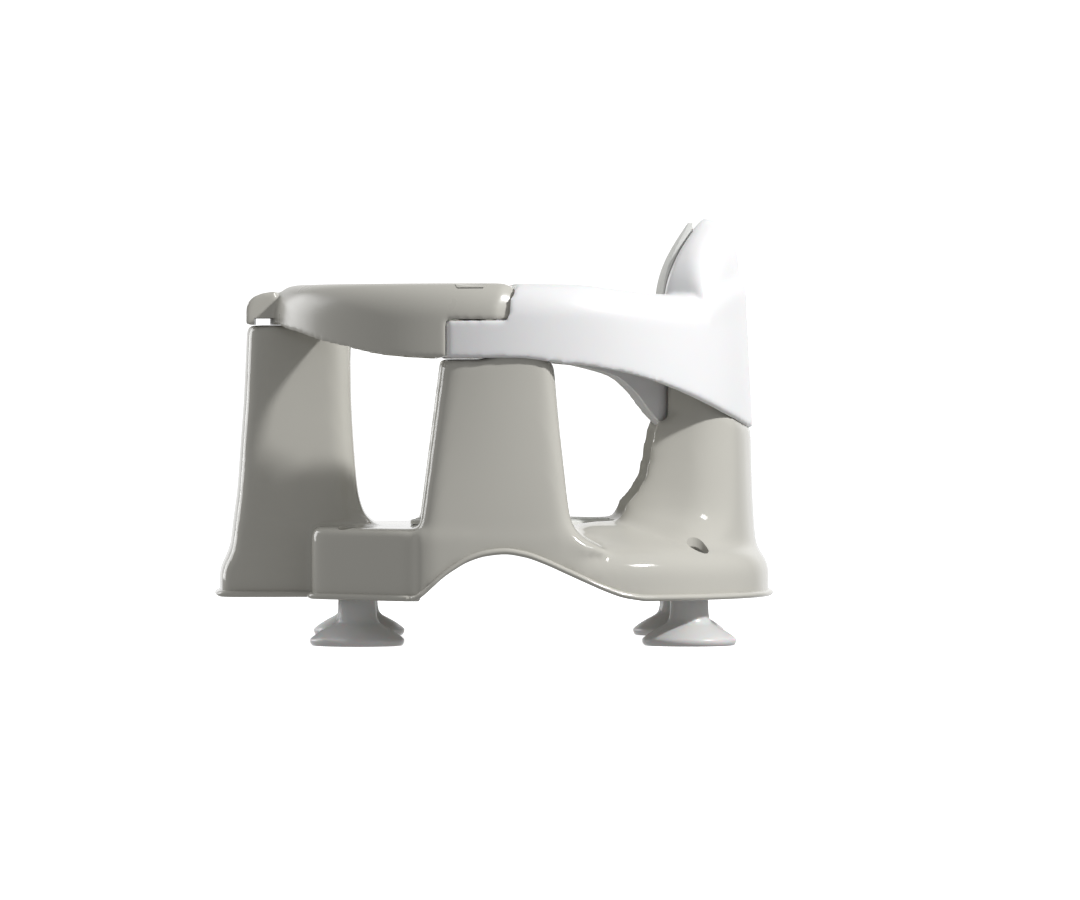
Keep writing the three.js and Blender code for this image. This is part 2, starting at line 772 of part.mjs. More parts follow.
function sideBody(inset, side) {
  const rings = levelsFor(sideShares, inset).map(([height, front, back]) => {
    const low = sideFrontX - sideFrontSpread * front + inset;
    const high = sideBackX + sideBackSpread * back - inset;
    const wide = (x) => {
      const plinthY = plinthSideY(x, 0);
      const ringY = Math.sqrt(sideRadius ** 2 - (x - ringX) ** 2);
      return mix(plinthY, ringY, smoothStep(sideTurnStart, 1, height)) - inset;
    };
    const deeper = inset > 0 ? sideDeepen : 0;
    const outer = (x) => wide(x) - gap * front - deeper;
    return slab({
      low,
      high,
      nearAt: () => sideInnerY + inset,
      farAt: outer,
      nearRound: Math.max(sideRound - inset, leastRound),
      farRound: Math.max(sideRound - inset, leastRound),
      steps: sideSteps,
      swap: false,
      z: mix(sideStart, sideTop, height) - (height === 1 ? 0 : inset),
    }).map(([x, y, z]) => [x, side * y, z]);
  });
  return stack(rings);
}

function columnBody(inset) {
  const rings = levelsFor(columnShares, inset).map(([height, radiusShare, widthShare]) => {
    const half = columnHalfWidth + columnWidthSpread * widthShare - inset;
    const radius = columnRadius + columnRadiusSpread * radiusShare - inset;
    return slab({
      low: -half,
      high: half,
      nearAt: () => columnFrontX + inset,
      farAt: (y) => ringX + Math.sqrt(radius ** 2 - y ** 2),
      nearRound: leastRound,
      farRound: columnRound - inset,
      steps: columnSteps,
      swap: true,
      z: mix(columnStart, columnTop, height) - (height === 1 ? 0 : inset),
    });
  });
  return stack(rings);
}

function bowlBody(grow) {
  const inner = bowlShares.map(([radius, height]) => [
    radius * bowlRadius + (radius > 0 ? grow * height : 0),
    deckZ + bowlDepth * height - grow,
  ]);
  const rim = inner[inner.length - 1][0];
  return turned([...inner, [rim, cutReach], [0, cutReach]], ringX, 0, 32);
}

const bushBore = pinRadius + gap + bushWall + gap;
const sideSpigotFront = pivotX + bushBore + bossWall + sideSpigotGap;
const ringScrewRadial = ringRadius - ringWidth / 2;
const ringScrewSideX = pivotX + headRadius + pocketGap + ringBossRadius + sideSpigotGap;
const ringScrewSideY = Math.sqrt(ringScrewRadial ** 2 - (ringScrewSideX - ringX) ** 2);
const ringScrewRearX = ringX + ringScrewRadial * Math.cos(radians(ringScrewDegrees));
const ringScrewRearY = ringScrewRadial * Math.sin(radians(ringScrewDegrees));
const sideSpigotBack = ringScrewSideX + sideSpigotRoom;

// The parts of the base that stand inside the ring's channel
function spigots(inset) {
  const outer = ringRadius - skin - spigotGap - inset;
  const inner = ringRadius - ringWidth + skin + spigotGap + inset;
  const sides = [-1, 1].map((side) => {
    const ring = (z) => slab({
      low: sideSpigotFront + inset,
      high: sideSpigotBack - inset,
      nearAt: (x) => Math.sqrt(inner ** 2 - (x - ringX) ** 2),
      farAt: (x) => Math.sqrt(outer ** 2 - (x - ringX) ** 2),
      nearRound: spigotRound - inset,
      farRound: spigotRound - inset,
      steps: 6,
      swap: false,
      z,
    }).map(([x, y, height]) => [x, side * y, height]);
    return stack([ring(sideTop - spigotDip), ring(spigotTop - inset)]);
  });
  const rearRing = (z, narrow) => slab({
    low: -columnSpigotHalf + inset,
    high: columnSpigotHalf - inset,
    nearAt: (y) => ringX + Math.sqrt(inner ** 2 - y ** 2),
    farAt: (y) => ringX + Math.sqrt((outer - narrow) ** 2 - y ** 2),
    nearRound: leastRound,
    farRound: rearSpigotRound - inset,
    steps: 10,
    swap: true,
    z,
  });
  const rear = stack([
    rearRing(rearFoot - spigotDip, rearSetBack + gap),
    rearRing(rearFoot, rearSetBack + gap),
    rearRing(spigotTop - inset, rearNarrow),
  ]);
  return joined([...sides, rear]);
}

// The space over the ring's two feet, that the base keeps clear of
function ringRoomBody(clearance) {
  return around(rearSweep, (angle) => {
    const outer = footAt(angle) - clearance;
    const inner = linerFootAt(angle) - clearance;
    return [
      [ringRadius - ringWidth - roomSide, inner],
      [ringRadius - ringWidth, inner],
      [ringRadius, outer],
      [ringRadius + roomSide, outer],
      [ringRadius + roomSide, cutReach],
      [ringRadius - ringWidth - roomSide, cutReach],
    ];
  });
}

function baseForm(inset) {
  const ringRoom = ringRoomBody(runningGap + inset);
  const round = joined([plinthBody(inset), sideBody(inset, 1), sideBody(inset, -1), columnBody(inset)])
    .subtract(bowlBody(inset))
    .subtract(ringRoom);
  return joined([round, trayBody(inset), crotchBody(inset), spigots(inset)]);
}

const cupPlaces = [
  ['front_left', cupFrontX, cupY, -1],
  ['front_right', cupFrontX, -cupY, -1],
  ['rear_left', cupRearX, cupY, 1],
  ['rear_right', cupRearX, -cupY, 1],
];

const ringScrewPlaces = [
  ['left', ringScrewSideX, ringScrewSideY],
  ['right', ringScrewSideX, -ringScrewSideY],
  ['rear_left', ringScrewRearX, ringScrewRearY],
  ['rear_right', ringScrewRearX, -ringScrewRearY],
];

function seatBase() {
  const outside = baseForm(0);
  const hollow = baseForm(baseWall);
  let base = outside.subtract(hollow);
  for (const [, x, y, end] of cupPlaces) {
    const post = cylinder(wellOuter, wellFloor, wellTop, x, y).intersect(outside);
    const socket = cylinder(cupStem + runningGap, 0, webZ, x, y);
    const hole = cylinder(cupNeck + runningGap, 0, webZ + webThick, x, y, 12);
    const chamber = cylinder(wellOuter - baseWall, webZ + webThick, wellTop, x, y).intersect(hollow);
    const ventX = x + end * ventShiftX;
    const ventY = y + Math.sign(y) * ventShiftY;
    const vent = cylinder(ventRadius, webZ + webThick, cutReach, ventX, ventY, 16);
    base = base.add(post).subtract(joined([socket, hole, chamber, vent]));
  }
  for (const [, x, y] of ringScrewPlaces) {
    base = base.subtract(cylinder(ringScrewRadius + 2 * gap, spigotTop - spigotDip, cutReach, x, y, 12));
  }
  return base;
}

function rearRing() {
  const outside = ringForm(0, 0);
  let ring = outside.subtract(ringForm(skin, dropReach));
  const boss = cylinder(bushBore + bossWall, bossFoot, tongueTop, pivotX, -pivotY).intersect(outside);
  ring = ring.add(boss).subtract(cylinder(bushBore, 0, tongueTop + headGap, pivotX, -pivotY));
  for (const [, x, y] of ringScrewPlaces) {
    const post = cylinder(ringBossRadius, spigotTop + gap, headrestTop, x, y, 24).intersect(outside);
    const pilotTop = spigotTop + ringScrewLength;
    const pilot = cylinder(ringScrewRadius + gap, 0, pilotTop, x, y, 16);
    ring = ring.add(post).subtract(pilot);
  }
  const slotHalf = collarRadius + slotGap;
  const slot = box(
    [pivotX - cutReach, pivotY - slotHalf, tongueTop - skin - collarHeight - buttonTravel - latchHeadThick],
    [pivotX, pivotY + slotHalf, tongueTop + headGap],
  );
  const round = cylinder(slotHalf, 0, tongueTop + headGap, pivotX, pivotY);
  const slotRoom = slot.add(round).intersect(tongueRegion(noseRadius + gap, tongueTop + headGap));
  return ring.subtract(slotRoom);
}

function hood() {
  const profile = (back) => {
    const front = hoodFront + back;
    const points = hoodOutlineShares.map(([along, rise]) => [
      mix(front, hoodBack, along),
      mix(hoodLipTop, hoodTop, rise) - back,
    ]);
    return points;
  };
  const prism = (points, half) => {
    const rings = [-half, half].map((y) => points.map(([x, z]) => [x, y, z]));
    return loft(rings, [points, points]);
  };
  const outer = profile(0);
  const inner = profile(hoodWall);
  const body = prism([[hoodBack, gateFrontFoot], [hoodFront, gateFrontFoot], ...outer], hoodHalfWidth);
  const lipBack = hoodFront + hoodLip;
  const room = prism(
    [[hoodBack, 0], [lipBack, 0], [lipBack, inner[3][1]], ...inner.slice(4)],
    hoodHalfWidth - hoodWall,
  );
  const slot = box([lipBack, -cutReach, 0], [hoodBack, cutReach, hoodSlotTop]);
  return body.subtract(room).subtract(slot);
}

const gateBossZ = tongueTop + headGap + 2 * gap + flangeThick + washerThick;
const capFloor = ringTop + capProud - capThick - gap;
const pinSeat = capFloor - pinHeadThick - gap;
const buttonFloor = ringTop - buttonWellDepth;

const coverZ = (angle) => [footAt(angle) + coverRecess, linerFootAt(angle) + coverRecess];

// The cover's strip between the gate's feet, deepened below and above
function coverStrip(side, below, above) {
  return around(gateAngles, (angle) => {
    const [outer, inner] = coverZ(angle);
    return [
      [ringRadius - side, outer - below],
      [ringRadius - side, outer + coverThick + above],
      [ringRadius - ringWidth + side, inner + coverThick + above],
      [ringRadius - ringWidth + side, inner - below],
    ];
  });
}

const coverEndX = pivotX - noseRadius - noseGap - skin - gap;
const screwReach = ringRadius - ringWidth / 2;
const gateScrewRear = Math.acos((coverEndX - gateScrewSetBack - ringX) / screwReach);
const gateScrewRearDegrees = (gateScrewRear * halfTurn) / Math.PI;
const gateScrewDegrees = [
  gateScrewFrontDegrees, gateScrewRearDegrees, turnDegrees - gateScrewFrontDegrees,
  turnDegrees - gateScrewRearDegrees,
];

function gateScrewPlace(angle) {
  const [outer, inner] = coverZ(angle);
  const turn = radians(angle);
  return [ringX + screwReach * Math.cos(turn), screwReach * Math.sin(turn), (outer + inner) / 2];
}

function gateShell() {
  const outside = gateForm(0, 0);
  const inside = gateForm(skin, dropReach);
  const hoodRoom = ringLoft(gateAngles, skin, dropReach);
  let gate = outside.subtract(inside).add(hood().subtract(hoodRoom));

  // Boss and recess of the hinge pin
  const boreRadius = pinRadius + gap;
  const pinBoss = cylinder(boreRadius + bossWall, tongueTop + headGap, ringTop, pivotX, -pivotY);
  const well = cylinder(capRadius + gap + skin, pinSeat - skin, ringTop, pivotX, -pivotY);
  gate = gate.add(pinBoss.add(well).intersect(outside));
  gate = gate.subtract(joined([
    cylinder(boreRadius, 0, cutReach, pivotX, -pivotY),
    cylinder(pinHead + gap, pinSeat, cutReach, pivotX, -pivotY),
    cylinder(capRadius + gap, capFloor, cutReach, pivotX, -pivotY),
    cylinder(bushFlange + gap, 0, gateBossZ, pivotX, -pivotY),
  ]));

  // Well and guide of the release button
  const buttonWell = cylinder(capRadius + gap + skin, buttonFloor - wellFloorThick, ringTop, pivotX, pivotY);
  gate = gate.add(buttonWell.intersect(outside));
  gate = gate.subtract(joined([
    cylinder(capRadius + gap, buttonFloor, cutReach, pivotX, pivotY),
    cylinder(stemRadius + gap, 0, cutReach, pivotX, pivotY, 20),
  ]));

  const coverRoom = coverStrip(0, coverRecess, gap);
  for (const angle of gateScrewDegrees) {
    const [x, y, z] = gateScrewPlace(angle);
    const boss = cylinder(gateBossRadius, z, ringTop, x, y, 16).intersect(outside).subtract(coverRoom);
    gate = gate.add(boss);
    gate = gate.subtract(cylinder(gateScrewRadius + gap, 0, z + gateScrewLength, x, y, 12));
  }
  return gate;
}

function gateCover() {
  let cover = coverStrip(skin + gap, 0, 0);
  const padRoom = coverStrip(skin, coverRecess, 0);
  for (const angle of gateScrewDegrees) {
    const [x, y, z] = gateScrewPlace(angle);
    const pad = cylinder(gateScrewHead + coverPadDrop, z - coverPadDrop, ringTop, x, y, 16).intersect(padRoom);
    cover = cover.add(pad).subtract(cylinder(gateScrewRadius + gap, 0, cutReach, x, y, 12));
  }
  const limit = box([-cutReach, -cutReach, 0], [coverEndX, cutReach, cutReach]);
  return cover.intersect(limit);
}

function seatMat() {
  const top = deckZ + gap + matThick;
  const mat = turned([
    [0, deckZ + gap], [matRadius, deckZ + gap], [matRadius, top - matEdge], [matRadius - matEdge, top], [0, top],
  ], ringX, 0, 24);
  const ribs = matRibShares.map((share) => {
    const middle = matRadius * share;
    return turned([
      [middle - matEdge, top - matEdge], [middle - matEdge / 2, top + matRibRise],
      [middle + matEdge / 2, top + matRibRise], [middle + matEdge, top - matEdge],
    ], ringX, 0, 24);
  });
  return joined([mat, ...ribs]);
}

function backPad() {
  const back = ringRadius - ringWidth - gap;
  const front = back - padThick;
  return around(padStepShares.map((share) => share * padHalfDegrees), (angle) => {
    const along = Math.min(1, Math.abs(angle) / padHalfDegrees);
    const top = padShoulder + padRise * (1 - along ** padPower) ** padRootShare;
    return [
      [back, padLow], [back, top], [front + padEdge, top], [front, top - padEdge],
      [front, padLow + padEdge], [front + padEdge, padLow],
    ];
  });
}

function suctionCup() {
  const flare = cupFlareShares.map(([radius, height]) => [radius * cupRadius, height * cupFlareHeight]);
  const hollow = cupHollowShares.map(([radius, height]) => [radius * cupRadius, height * cupFlareHeight]);
  const neckLow = webZ - runningGap;
  const neckHigh = webZ + webThick + runningGap;
  return turned([
    ...hollow, ...flare, [cupStem, cupFlareHeight + cupStem / 2], [cupStem, neckLow], [cupNeck, neckLow],
    [cupNeck, neckHigh], [cupHead, neckHigh], [cupHead, neckHigh + cupHeadHeight / 4],
    [cupHead / 2, neckHigh + cupHeadHeight], [0, neckHigh + cupHeadHeight],
  ], 0, 0, 16);
}

// Dished round cap or button top, with its own edge rounding
function dishedTop(low) {
  const top = ringTop + capProud;
  return [
    [capRadius, low], [capRadius, top - capRim / 2], [capRadius - capRim / 2, top], [capRadius - capRim, top],
    [capRadius / 2, top - capDish], [0, top - capDish],
  ];
}

function pivotPin() {
  const foot = bossFoot - pinTail;
  return turned([
    [0, foot], [pinRadius - gap, foot], [pinRadius, foot + gap], [pinRadius, pinSeat + gap],
    [pinHead, pinSeat + gap], [pinHead, pinSeat + pinHeadThick], [0, pinSeat + pinHeadThick],
  ]);
}

function pivotBush() {
  const inner = pinRadius + gap;
  const flangeLow = tongueTop + gap;
  return turned([
    [inner, bossFoot], [inner + bushWall, bossFoot], [inner + bushWall, flangeLow],
    [bushFlange, flangeLow], [bushFlange, flangeLow + flangeThick], [inner, flangeLow + flangeThick],
  ]);
}

function releaseButton() {
  const under = buttonFloor + buttonTravel + buttonSkirt;
  const foot = tongueTop + gap;
  const stem = turned([
    [0, foot], [stemRadius, foot], [stemRadius, under + gap], [0, under + gap],
  ], 0, 0, 20);
  const top = turned([[0, under], ...dishedTop(under)]);
  const screwRoom = cylinder(latchScrewRadius + gap, 0, foot + springWire + collarRadius * 2, 0, 0, 16);
  return stem.add(top).subtract(screwRoom);
}

// One unbroken coil between the well's floor and the button
function buttonSpring() {
  const low = buttonFloor + gap + springWire;
  const high = buttonFloor + buttonTravel + buttonSkirt - gap - springWire;
  const steps = springTurns * springSides;
  const points = [];
  for (let i = 0; i <= steps; i += 1) {
    const turn = (2 * Math.PI * i) / springSides;
    points.push(new THREE.Vector3(
      springRadius * Math.cos(turn),
      springRadius * Math.sin(turn),
      mix(low, high, i / steps),
    ));
  }
  const wire = new THREE.Shape();
  for (let i = 0; i < wireSides; i += 1) {
    const turn = (2 * Math.PI * i) / wireSides;
    const place = [springWire * Math.cos(turn), springWire * Math.sin(turn)];
    if (i === 0) {
      wire.moveTo(...place);
    } else {
      wire.lineTo(...place);
    }
  }
  wire.closePath();
  const path = new THREE.CatmullRomCurve3(points);
  return solid(new THREE.ExtrudeGeometry(wire, { steps, extrudePath: path, bevelEnabled: false }));
}

const ringOf = (inner, outer, low, high) =>
  turned([[inner, low], [outer, low], [outer, high], [inner, high]]);

function headScrew(radius, length, head, headThick) {
  return turned([
    [0, 0], [head, 0], [head, headThick * screwEdgeShare], [head * screwCrownShare, headThick], [radius, headThick],
    [radius, headThick + length], [0, headThick + length],
  ], 0, 0, 8);
}

// Assembly
const seat = new THREE.Group();
seat.name = 'baby_bath_seat';

function place(name, body, finish, position = [0, 0, 0], rotation = [0, 0, 0]) {
  const mesh = new THREE.Mesh(geometryOf(body), finish);
  mesh.name = name;
  mesh.position.set(...position);
  mesh.rotation.set(...rotation);
  seat.add(mesh);
}

place('seat_base', seatBase(), greyPlastic);
place('rear_ring', rearRing(), whitePlastic);
place('gate_shell', gateShell(), greyPlastic);
place('gate_cover', gateCover(), greyPlastic);
place('seat_mat', seatMat(), softGrey);
place('headrest_pad', backPad(), softGrey);

for (const [name, x, y] of cupPlaces) {
  place(`suction_cup_${name}`, suctionCup(), softWhite, [x, y, 0]);
}

const near = [pivotX, -pivotY, 0];
const far = [pivotX, pivotY, 0];
place('pivot_pin', pivotPin(), steel, near);
place('pivot_bush', pivotBush(), acetal, near);
const washerLow = tongueTop + gap + flangeThick + gap;
place('pivot_washer', ringOf(pinRadius + gap, bushFlange, washerLow, washerLow + washerThick), acetal, near);
const clipHigh = bossFoot - gap;
place('pivot_clip', ringOf(pinRadius + gap, clipRadius, clipHigh - clipThick, clipHigh), steel, near);
place('pivot_cap', turned([[0, capFloor + gap], ...dishedTop(capFloor + gap)]), greyPlastic, near);

place('release_button', releaseButton(), greyPlastic, far);
place('button_spring', buttonSpring(), steel, far);
const collarTop = tongueTop;
const collarLow = collarTop - collarHeight;
place('latch_collar', ringOf(latchScrewRadius + gap, collarRadius, collarLow, collarTop), acetal, far);
const latchScrewLow = collarLow - gap - latchHeadThick;
const latchScrew = headScrew(latchScrewRadius, collarHeight + collarRadius, latchHeadRadius, latchHeadThick);
place('latch_screw', latchScrew, steel, [pivotX, pivotY, latchScrewLow]);

for (const [name, x, y] of ringScrewPlaces) {
  const low = spigotTop - baseWall - gap - ringScrewHeadThick;
  const screw = headScrew(ringScrewRadius, ringScrewLength, ringScrewHead, ringScrewHeadThick);
  place(`ring_screw_${name}`, screw, steel, [x, y, low]);
}

gateScrewDegrees.forEach((angle, i) => {
  const [x, y, z] = gateScrewPlace(angle);
  const screw = headScrew(gateScrewRadius, gateScrewLength, gateScrewHead, gateScrewHeadThick);
  place(`gate_screw_${i + 1}`, screw, steel, [x, y, z - coverPadDrop - gap - gateScrewHeadThick]);
});

export default seat;
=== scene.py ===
"""Looks of a baby bath seat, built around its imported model.

Metres, +X towards the backrest, +Y to the latch side, +Z up. Sizes are written in millimetres and
multiplied by MM where a mesh is made.
"""

import math

import bmesh
import bpy
from mathutils import Matrix, Vector

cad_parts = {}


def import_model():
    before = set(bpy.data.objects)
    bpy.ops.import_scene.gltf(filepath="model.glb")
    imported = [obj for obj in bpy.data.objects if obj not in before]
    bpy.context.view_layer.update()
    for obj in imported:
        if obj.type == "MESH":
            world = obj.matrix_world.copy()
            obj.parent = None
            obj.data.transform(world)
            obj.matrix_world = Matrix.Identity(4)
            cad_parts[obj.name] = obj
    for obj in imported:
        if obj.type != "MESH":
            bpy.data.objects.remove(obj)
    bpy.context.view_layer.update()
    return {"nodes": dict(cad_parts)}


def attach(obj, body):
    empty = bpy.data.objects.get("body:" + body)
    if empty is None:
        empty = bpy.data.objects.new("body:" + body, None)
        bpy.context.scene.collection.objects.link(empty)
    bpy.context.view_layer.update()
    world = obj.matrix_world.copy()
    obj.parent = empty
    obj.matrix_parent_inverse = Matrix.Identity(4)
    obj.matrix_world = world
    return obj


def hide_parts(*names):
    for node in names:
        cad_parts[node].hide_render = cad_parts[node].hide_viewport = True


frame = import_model()

MM = 0.001

# Walls and reaches
SKIN = 2.8
BASE_WALL = 3.0
CUT_REACH = 400.0
DROP = 100.0
ROUND_LEAST = 0.5
MERGE_REACH = 0.002
SHARPEST_TURN = 0.6

# Ring
RING_X = 12.0
RING_RADIUS = 157.0
RING_WIDTH = 40.0
RING_TOP = 229.6
RING_FOOT = 182.4
SHOULDER_WIDTH = 17.0
SHOULDER_DROP = 22.0
LIP_WIDTH = 8.0
LIP_DROP = 10.0
REAR_FOOT = 137.4
REAR_TOP = 222.8
REAR_SET_BACK = 1.5
REAR_LEAN = 3.4
HEADREST_TOP = 273.3
HEADREST_RADIUS = 124.0
HEADREST_DEPTH = 27.3
HEADREST_HALF = 36.0
REAR_FOOT_SHARES = [
    (0, 1), (12, 0.955), (25, 0.82), (38, 0.609), (50, 0.413), (60, 0.253), (71, 0.127), (81.5, 0.058),
    (90, 0), (180, 0),
]
REAR_LINER_SHARES = [
    (0, 1), (35, 1), (43, 0.787), (49, 0.52), (57, 0.258), (63, 0.176), (76, 0.053), (90, 0), (180, 0),
]
REAR_TOP_SHARES = [(0, 1), (40, 1), (50, 0.95), (62, 0.55), (75, 0.1), (100, 0), (180, 0)]
HEADREST_BACK = [
    (1.02, -0.288), (1, 0.024), (0.94, 0.157), (0.846, 0.261), (0.806, 0.473),
    (0.747, 0.641), (0.549, 0.841), (0.256, 0.969), (0, 1),
]
HEADREST_FRONT = [(-0.055, 0.978), (-0.161, 0.896), (-0.227, 0.759), (-0.256, 0.543)]
BACK_STEPS = 20
FRONT_STEPS = 9
REAR_SPAN = (-112, 112)
RING_STEP = 2
COARSE_STEP = 4

# Gate and lap joint
GATE_FRONT_FOOT = 204.3
GATE_FOOT_SHARES = [
    (0, 1), (15.3, 1), (18.4, 0.904), (27.2, 0.749), (34.5, 0.58), (40.5, 0.434),
    (49.4, 0.256), (55.8, 0.12), (62.7, 0.046), (73.6, 0), (180, 0),
]
GATE_LINER_SHARES = [(0, 1), (35, 1), (45, 0.8), (55, 0.5), (65, 0.2), (73, 0), (180, 0)]
GATE_SPAN = (76, 284)
HEAD_EDGE_STARTS = (84, 262)
HEAD_EDGE_STEP = 0.5
HEAD_EDGE_COUNT = 25
PIVOT_X = -15.4
PIVOT_Y = 139.0
HEAD_RADIUS = 27.4
POCKET_GAP = 0.7
NOSE_RADIUS = 19.0
NOSE_GAP = 0.6
TONGUE_TOP = 206.0
HEAD_GAP = 0.7
HEAD_CHAMFER_WIDTH = 7.0
HEAD_CHAMFER_DEPTH = 3.4
CAP_RADIUS = 10.5
CAP_GAP = 0.35
PIN_BORE = 4.3
BUSH_BORE = 6.3
CAP_WELL_Z = 226.1
CAP_FOOT = 226.7
BUTTON_FOOT = 222.4
BUTTON_STEM = 3.0
BUTTON_STEM_GAP = 0.3
BUTTON_STEM_OVERLAP = 0.2
CAP_STEPS = 96
DISH_RADIUS = 12.5
DISH_DEPTH = 2.2
STEM_BORE = 3.3
SLOT_HALF = 6.2
SLOT_FLOOR = 194.2

# Hood over the crotch post
HOOD_SPAN = (150, 210)
HOOD_STEPS = 16
HOOD_FRONT = -160.0
HOOD_BACK = -141.0
HOOD_HALF = 30.0
HOOD_TOP = 225.6
HOOD_LIP_TOP = 213.0
HOOD_SLOT_TOP = 208.4
HOOD_LIP = 5.4
HOOD_WALL = 2.5
HOOD_OUTLINE = [(0, 0), (0.02, 0.22), (0.1, 0.49), (0.2, 0.66), (0.37, 0.8), (0.63, 0.93), (1, 1)]

# Base
FOOT_Z = 29.3
DECK_Z = 75.0
BEAD_REACH = 3.0
BEAD_HEIGHT = 4.2
BEAD_ROOT = 1.5
BEAD_TURN = 20
PLINTH_REAR = 165.8
PLINTH_SIDE = 160.0
PLINTH_FRONT_X = -52.6
PLINTH_CORNER = 9.0
PLINTH_CORNER_LEAST = 1.0
PLINTH_TAPER = 4.0
PLINTH_POWER = 2.3
PLINTH_WALL_Z = 46.0
PLINTH_CROWN_Z = 79.0
PLINTH_REACH = 70.0
PLINTH_SIDE_SHARE = 0.52
PLINTH_STEPS = (6, 6, 48, 26)
BLEND_X = (38.0, 70.0)
REAR_CROWN = [
    (0, 0), (0.017, 0.152), (0.057, 0.303), (0.129, 0.439), (0.229, 0.545),
    (0.371, 0.652), (0.543, 0.773), (0.743, 0.909), (1, 1),
]
DECK_CROWN = [
    (0, 0), (0, 0.31), (0, 0.62), (0, 0.84), (0.017, 0.95),
    (0.057, 1), (0.543, 1), (0.743, 1), (1, 1),
]
CROWN_STEPS = 24
LEVEL_STEP = 0.2
ARCH_START = -51.0
ARCH_END = 92.6
ARCH_RISE = 29.8
ARCH_SHARES = [
    (0, 0), (0.042, 0.158), (0.084, 0.349), (0.129, 0.537), (0.174, 0.685), (0.216, 0.809), (0.258, 0.893),
    (0.303, 0.956), (0.39, 1), (0.477, 0.936), (0.564, 0.789), (0.651, 0.601), (0.738, 0.409), (0.826, 0.221),
    (0.912, 0.074), (1, 0),
]
TRAY_FRONT_X = -117.0
TRAY_HALF = 97.0
TRAY_FLARE_X = -56.0
TRAY_FLARE_Y = 148.0
TRAY_TURN = 45.0
TRAY_SOFT = 3.0
TRAY_EDGE = 4.0
TRAY_EDGE_STEPS = 6
TRAY_SHARES = [0, 0.2, 0.4, 0.55, 0.6, 0.62, 0.635, 0.65, 0.662, 0.675, 0.69, 0.71, 0.74, 0.82, 0.9, 0.97, 1]
CROTCH_TOP = 203.8
CROTCH_FRONT = -160.0
CROTCH_BACK = -93.0
CROTCH_HALF = 30.0
CROTCH_BULGE = 4.0
CROTCH_FRONT_ROUND = 9.0
CROTCH_BACK_ROUND = 14.0
CROTCH_SPREAD = 18.8
CROTCH_TOE = 17.8
CROTCH_FLARE = 25.0
CROTCH_STEPS = 40
CROTCH_CROWDING = 1.3
CROTCH_EDGE_STEPS = 26
CROTCH_SHARES = [
    (0.024, 1, 0.64, 1.32), (0.09, 0.99, 0.64, 1.3), (0.136, 0.83, 0.64, 1.22), (0.17, 0.67, 0.64, 1.06),
    (0.196, 0.6, 0.64, 0.98), (0.268, 0.52, 0.64, 0.9), (0.289, 0.49, 0.44, 0.8), (0.322, 0.45, 0.32, 0.69),
    (0.389, 0.36, 0.2, 0.53), (0.56, 0.24, 0.092, 0.32), (0.73, 0.12, 0.028, 0.16), (1, 0, 0, 0),
]
SIDE_TOP = 181.7
SIDE_START = 60.0
SIDE_FRONT_X = -34.5
SIDE_BACK_X = 35.8
SIDE_FRONT_SPREAD = 15.5
SIDE_BACK_SPREAD = 36.0
SIDE_INNER_Y = 95.0
SIDE_RADIUS = 153.3
SIDE_ROUND = 9.0
SIDE_BLEND = (-0.1, 1)
SIDE_STEPS = 30
SIDE_CROWDING = 1.4
SIDE_EDGE_STEPS = 24
SIDE_SHARES = [
    (0, 1, 1), (0.035, 0.96, 0.8), (0.07, 0.93, 0.58), (0.115, 0.88, 0.4),
    (0.17, 0.83, 0.3), (0.42, 0.58, 0.19), (0.7, 0.3, 0.09), (1, 0, 0),
]
COLUMN_TOP = 160.0
COLUMN_START = 50.0
COLUMN_RADIUS = 153.4
COLUMN_HALF = 74.0
COLUMN_RADIUS_SPREAD = 11.0
COLUMN_WIDTH_SPREAD = 52.0
COLUMN_FRONT = 68.0
COLUMN_ROUND = 20.0
COLUMN_SIDE_RISE = 7.0
COLUMN_SIDE_REACH = 22.0
COLUMN_STAND_OUT = 5.0
COLUMN_OVERREACH = 4.0
COLUMN_CORNER_SHARE = 0.95
COLUMN_STEPS = 30
COLUMN_CROWDING = 1.3
COLUMN_EDGE_STEPS = 40
COLUMN_SHARES = [
    (0, 1, 1), (0.064, 0.7, 0.93), (0.109, 0.44, 0.72), (0.164, 0.36, 0.46), (0.228, 0.3, 0.26),
    (0.318, 0.24, 0.13), (0.454, 0.18, 0.07), (0.79, 0.08, 0.02), (1, 0.05, 0.01),
]
SPIGOT_TOP = 200.0
SPIGOT_DIP = 24.0
SPIGOT_GAP = 1.4
SPIGOT_ROUND = 6.0
SPIGOT_EDGE_STEPS = 12
SIDE_SPIGOT_X = (-3.7, 30.0)
REAR_SPIGOT_SET_IN = 0.3
REAR_SPIGOT_NARROW = 5.2
REAR_SPIGOT_ROUND = 12.0
ROOM_SIDE = 3.0
RING_GAP = 0.4
BOWL_RADIUS = 117.2
BOWL_DEPTH = 62.0
BOWL_STEPS = 30
BOWL_TURNS = 96
BOWL_SHARES = [
    (0, 0), (0.614, 0), (0.725, 0.021), (0.798, 0.056), (0.874, 0.127), (0.909, 0.221),
    (0.953, 0.376), (0.985, 0.677), (1, 1),
]
CUP_PLACES = {
    "front_left": (-88.0, 97.0, -1), "front_right": (-88.0, -97.0, -1),
    "rear_left": (123.0, 97.0, 1), "rear_right": (123.0, -97.0, 1),
}
WELL_OUTER = 14.6
WELL_FLOOR = 31.0
WELL_STEPS = 32
WEB_Z = 38.0
WEB_THICK = 3.0
BORE_OVERRUN = 1.0
CUP_GAP = 0.4
CUP_STEM = 12.1
CUP_SHOULDER = 0.6
CUP_NECK = 5.9
CUP_FOOT = [(0.0, 10.1), (8.0, 9.6), (15.0, 8.3), (21.0, 5.6), (25.5, 2.2), (27.2, 0.0), (28.4, 0.0)]
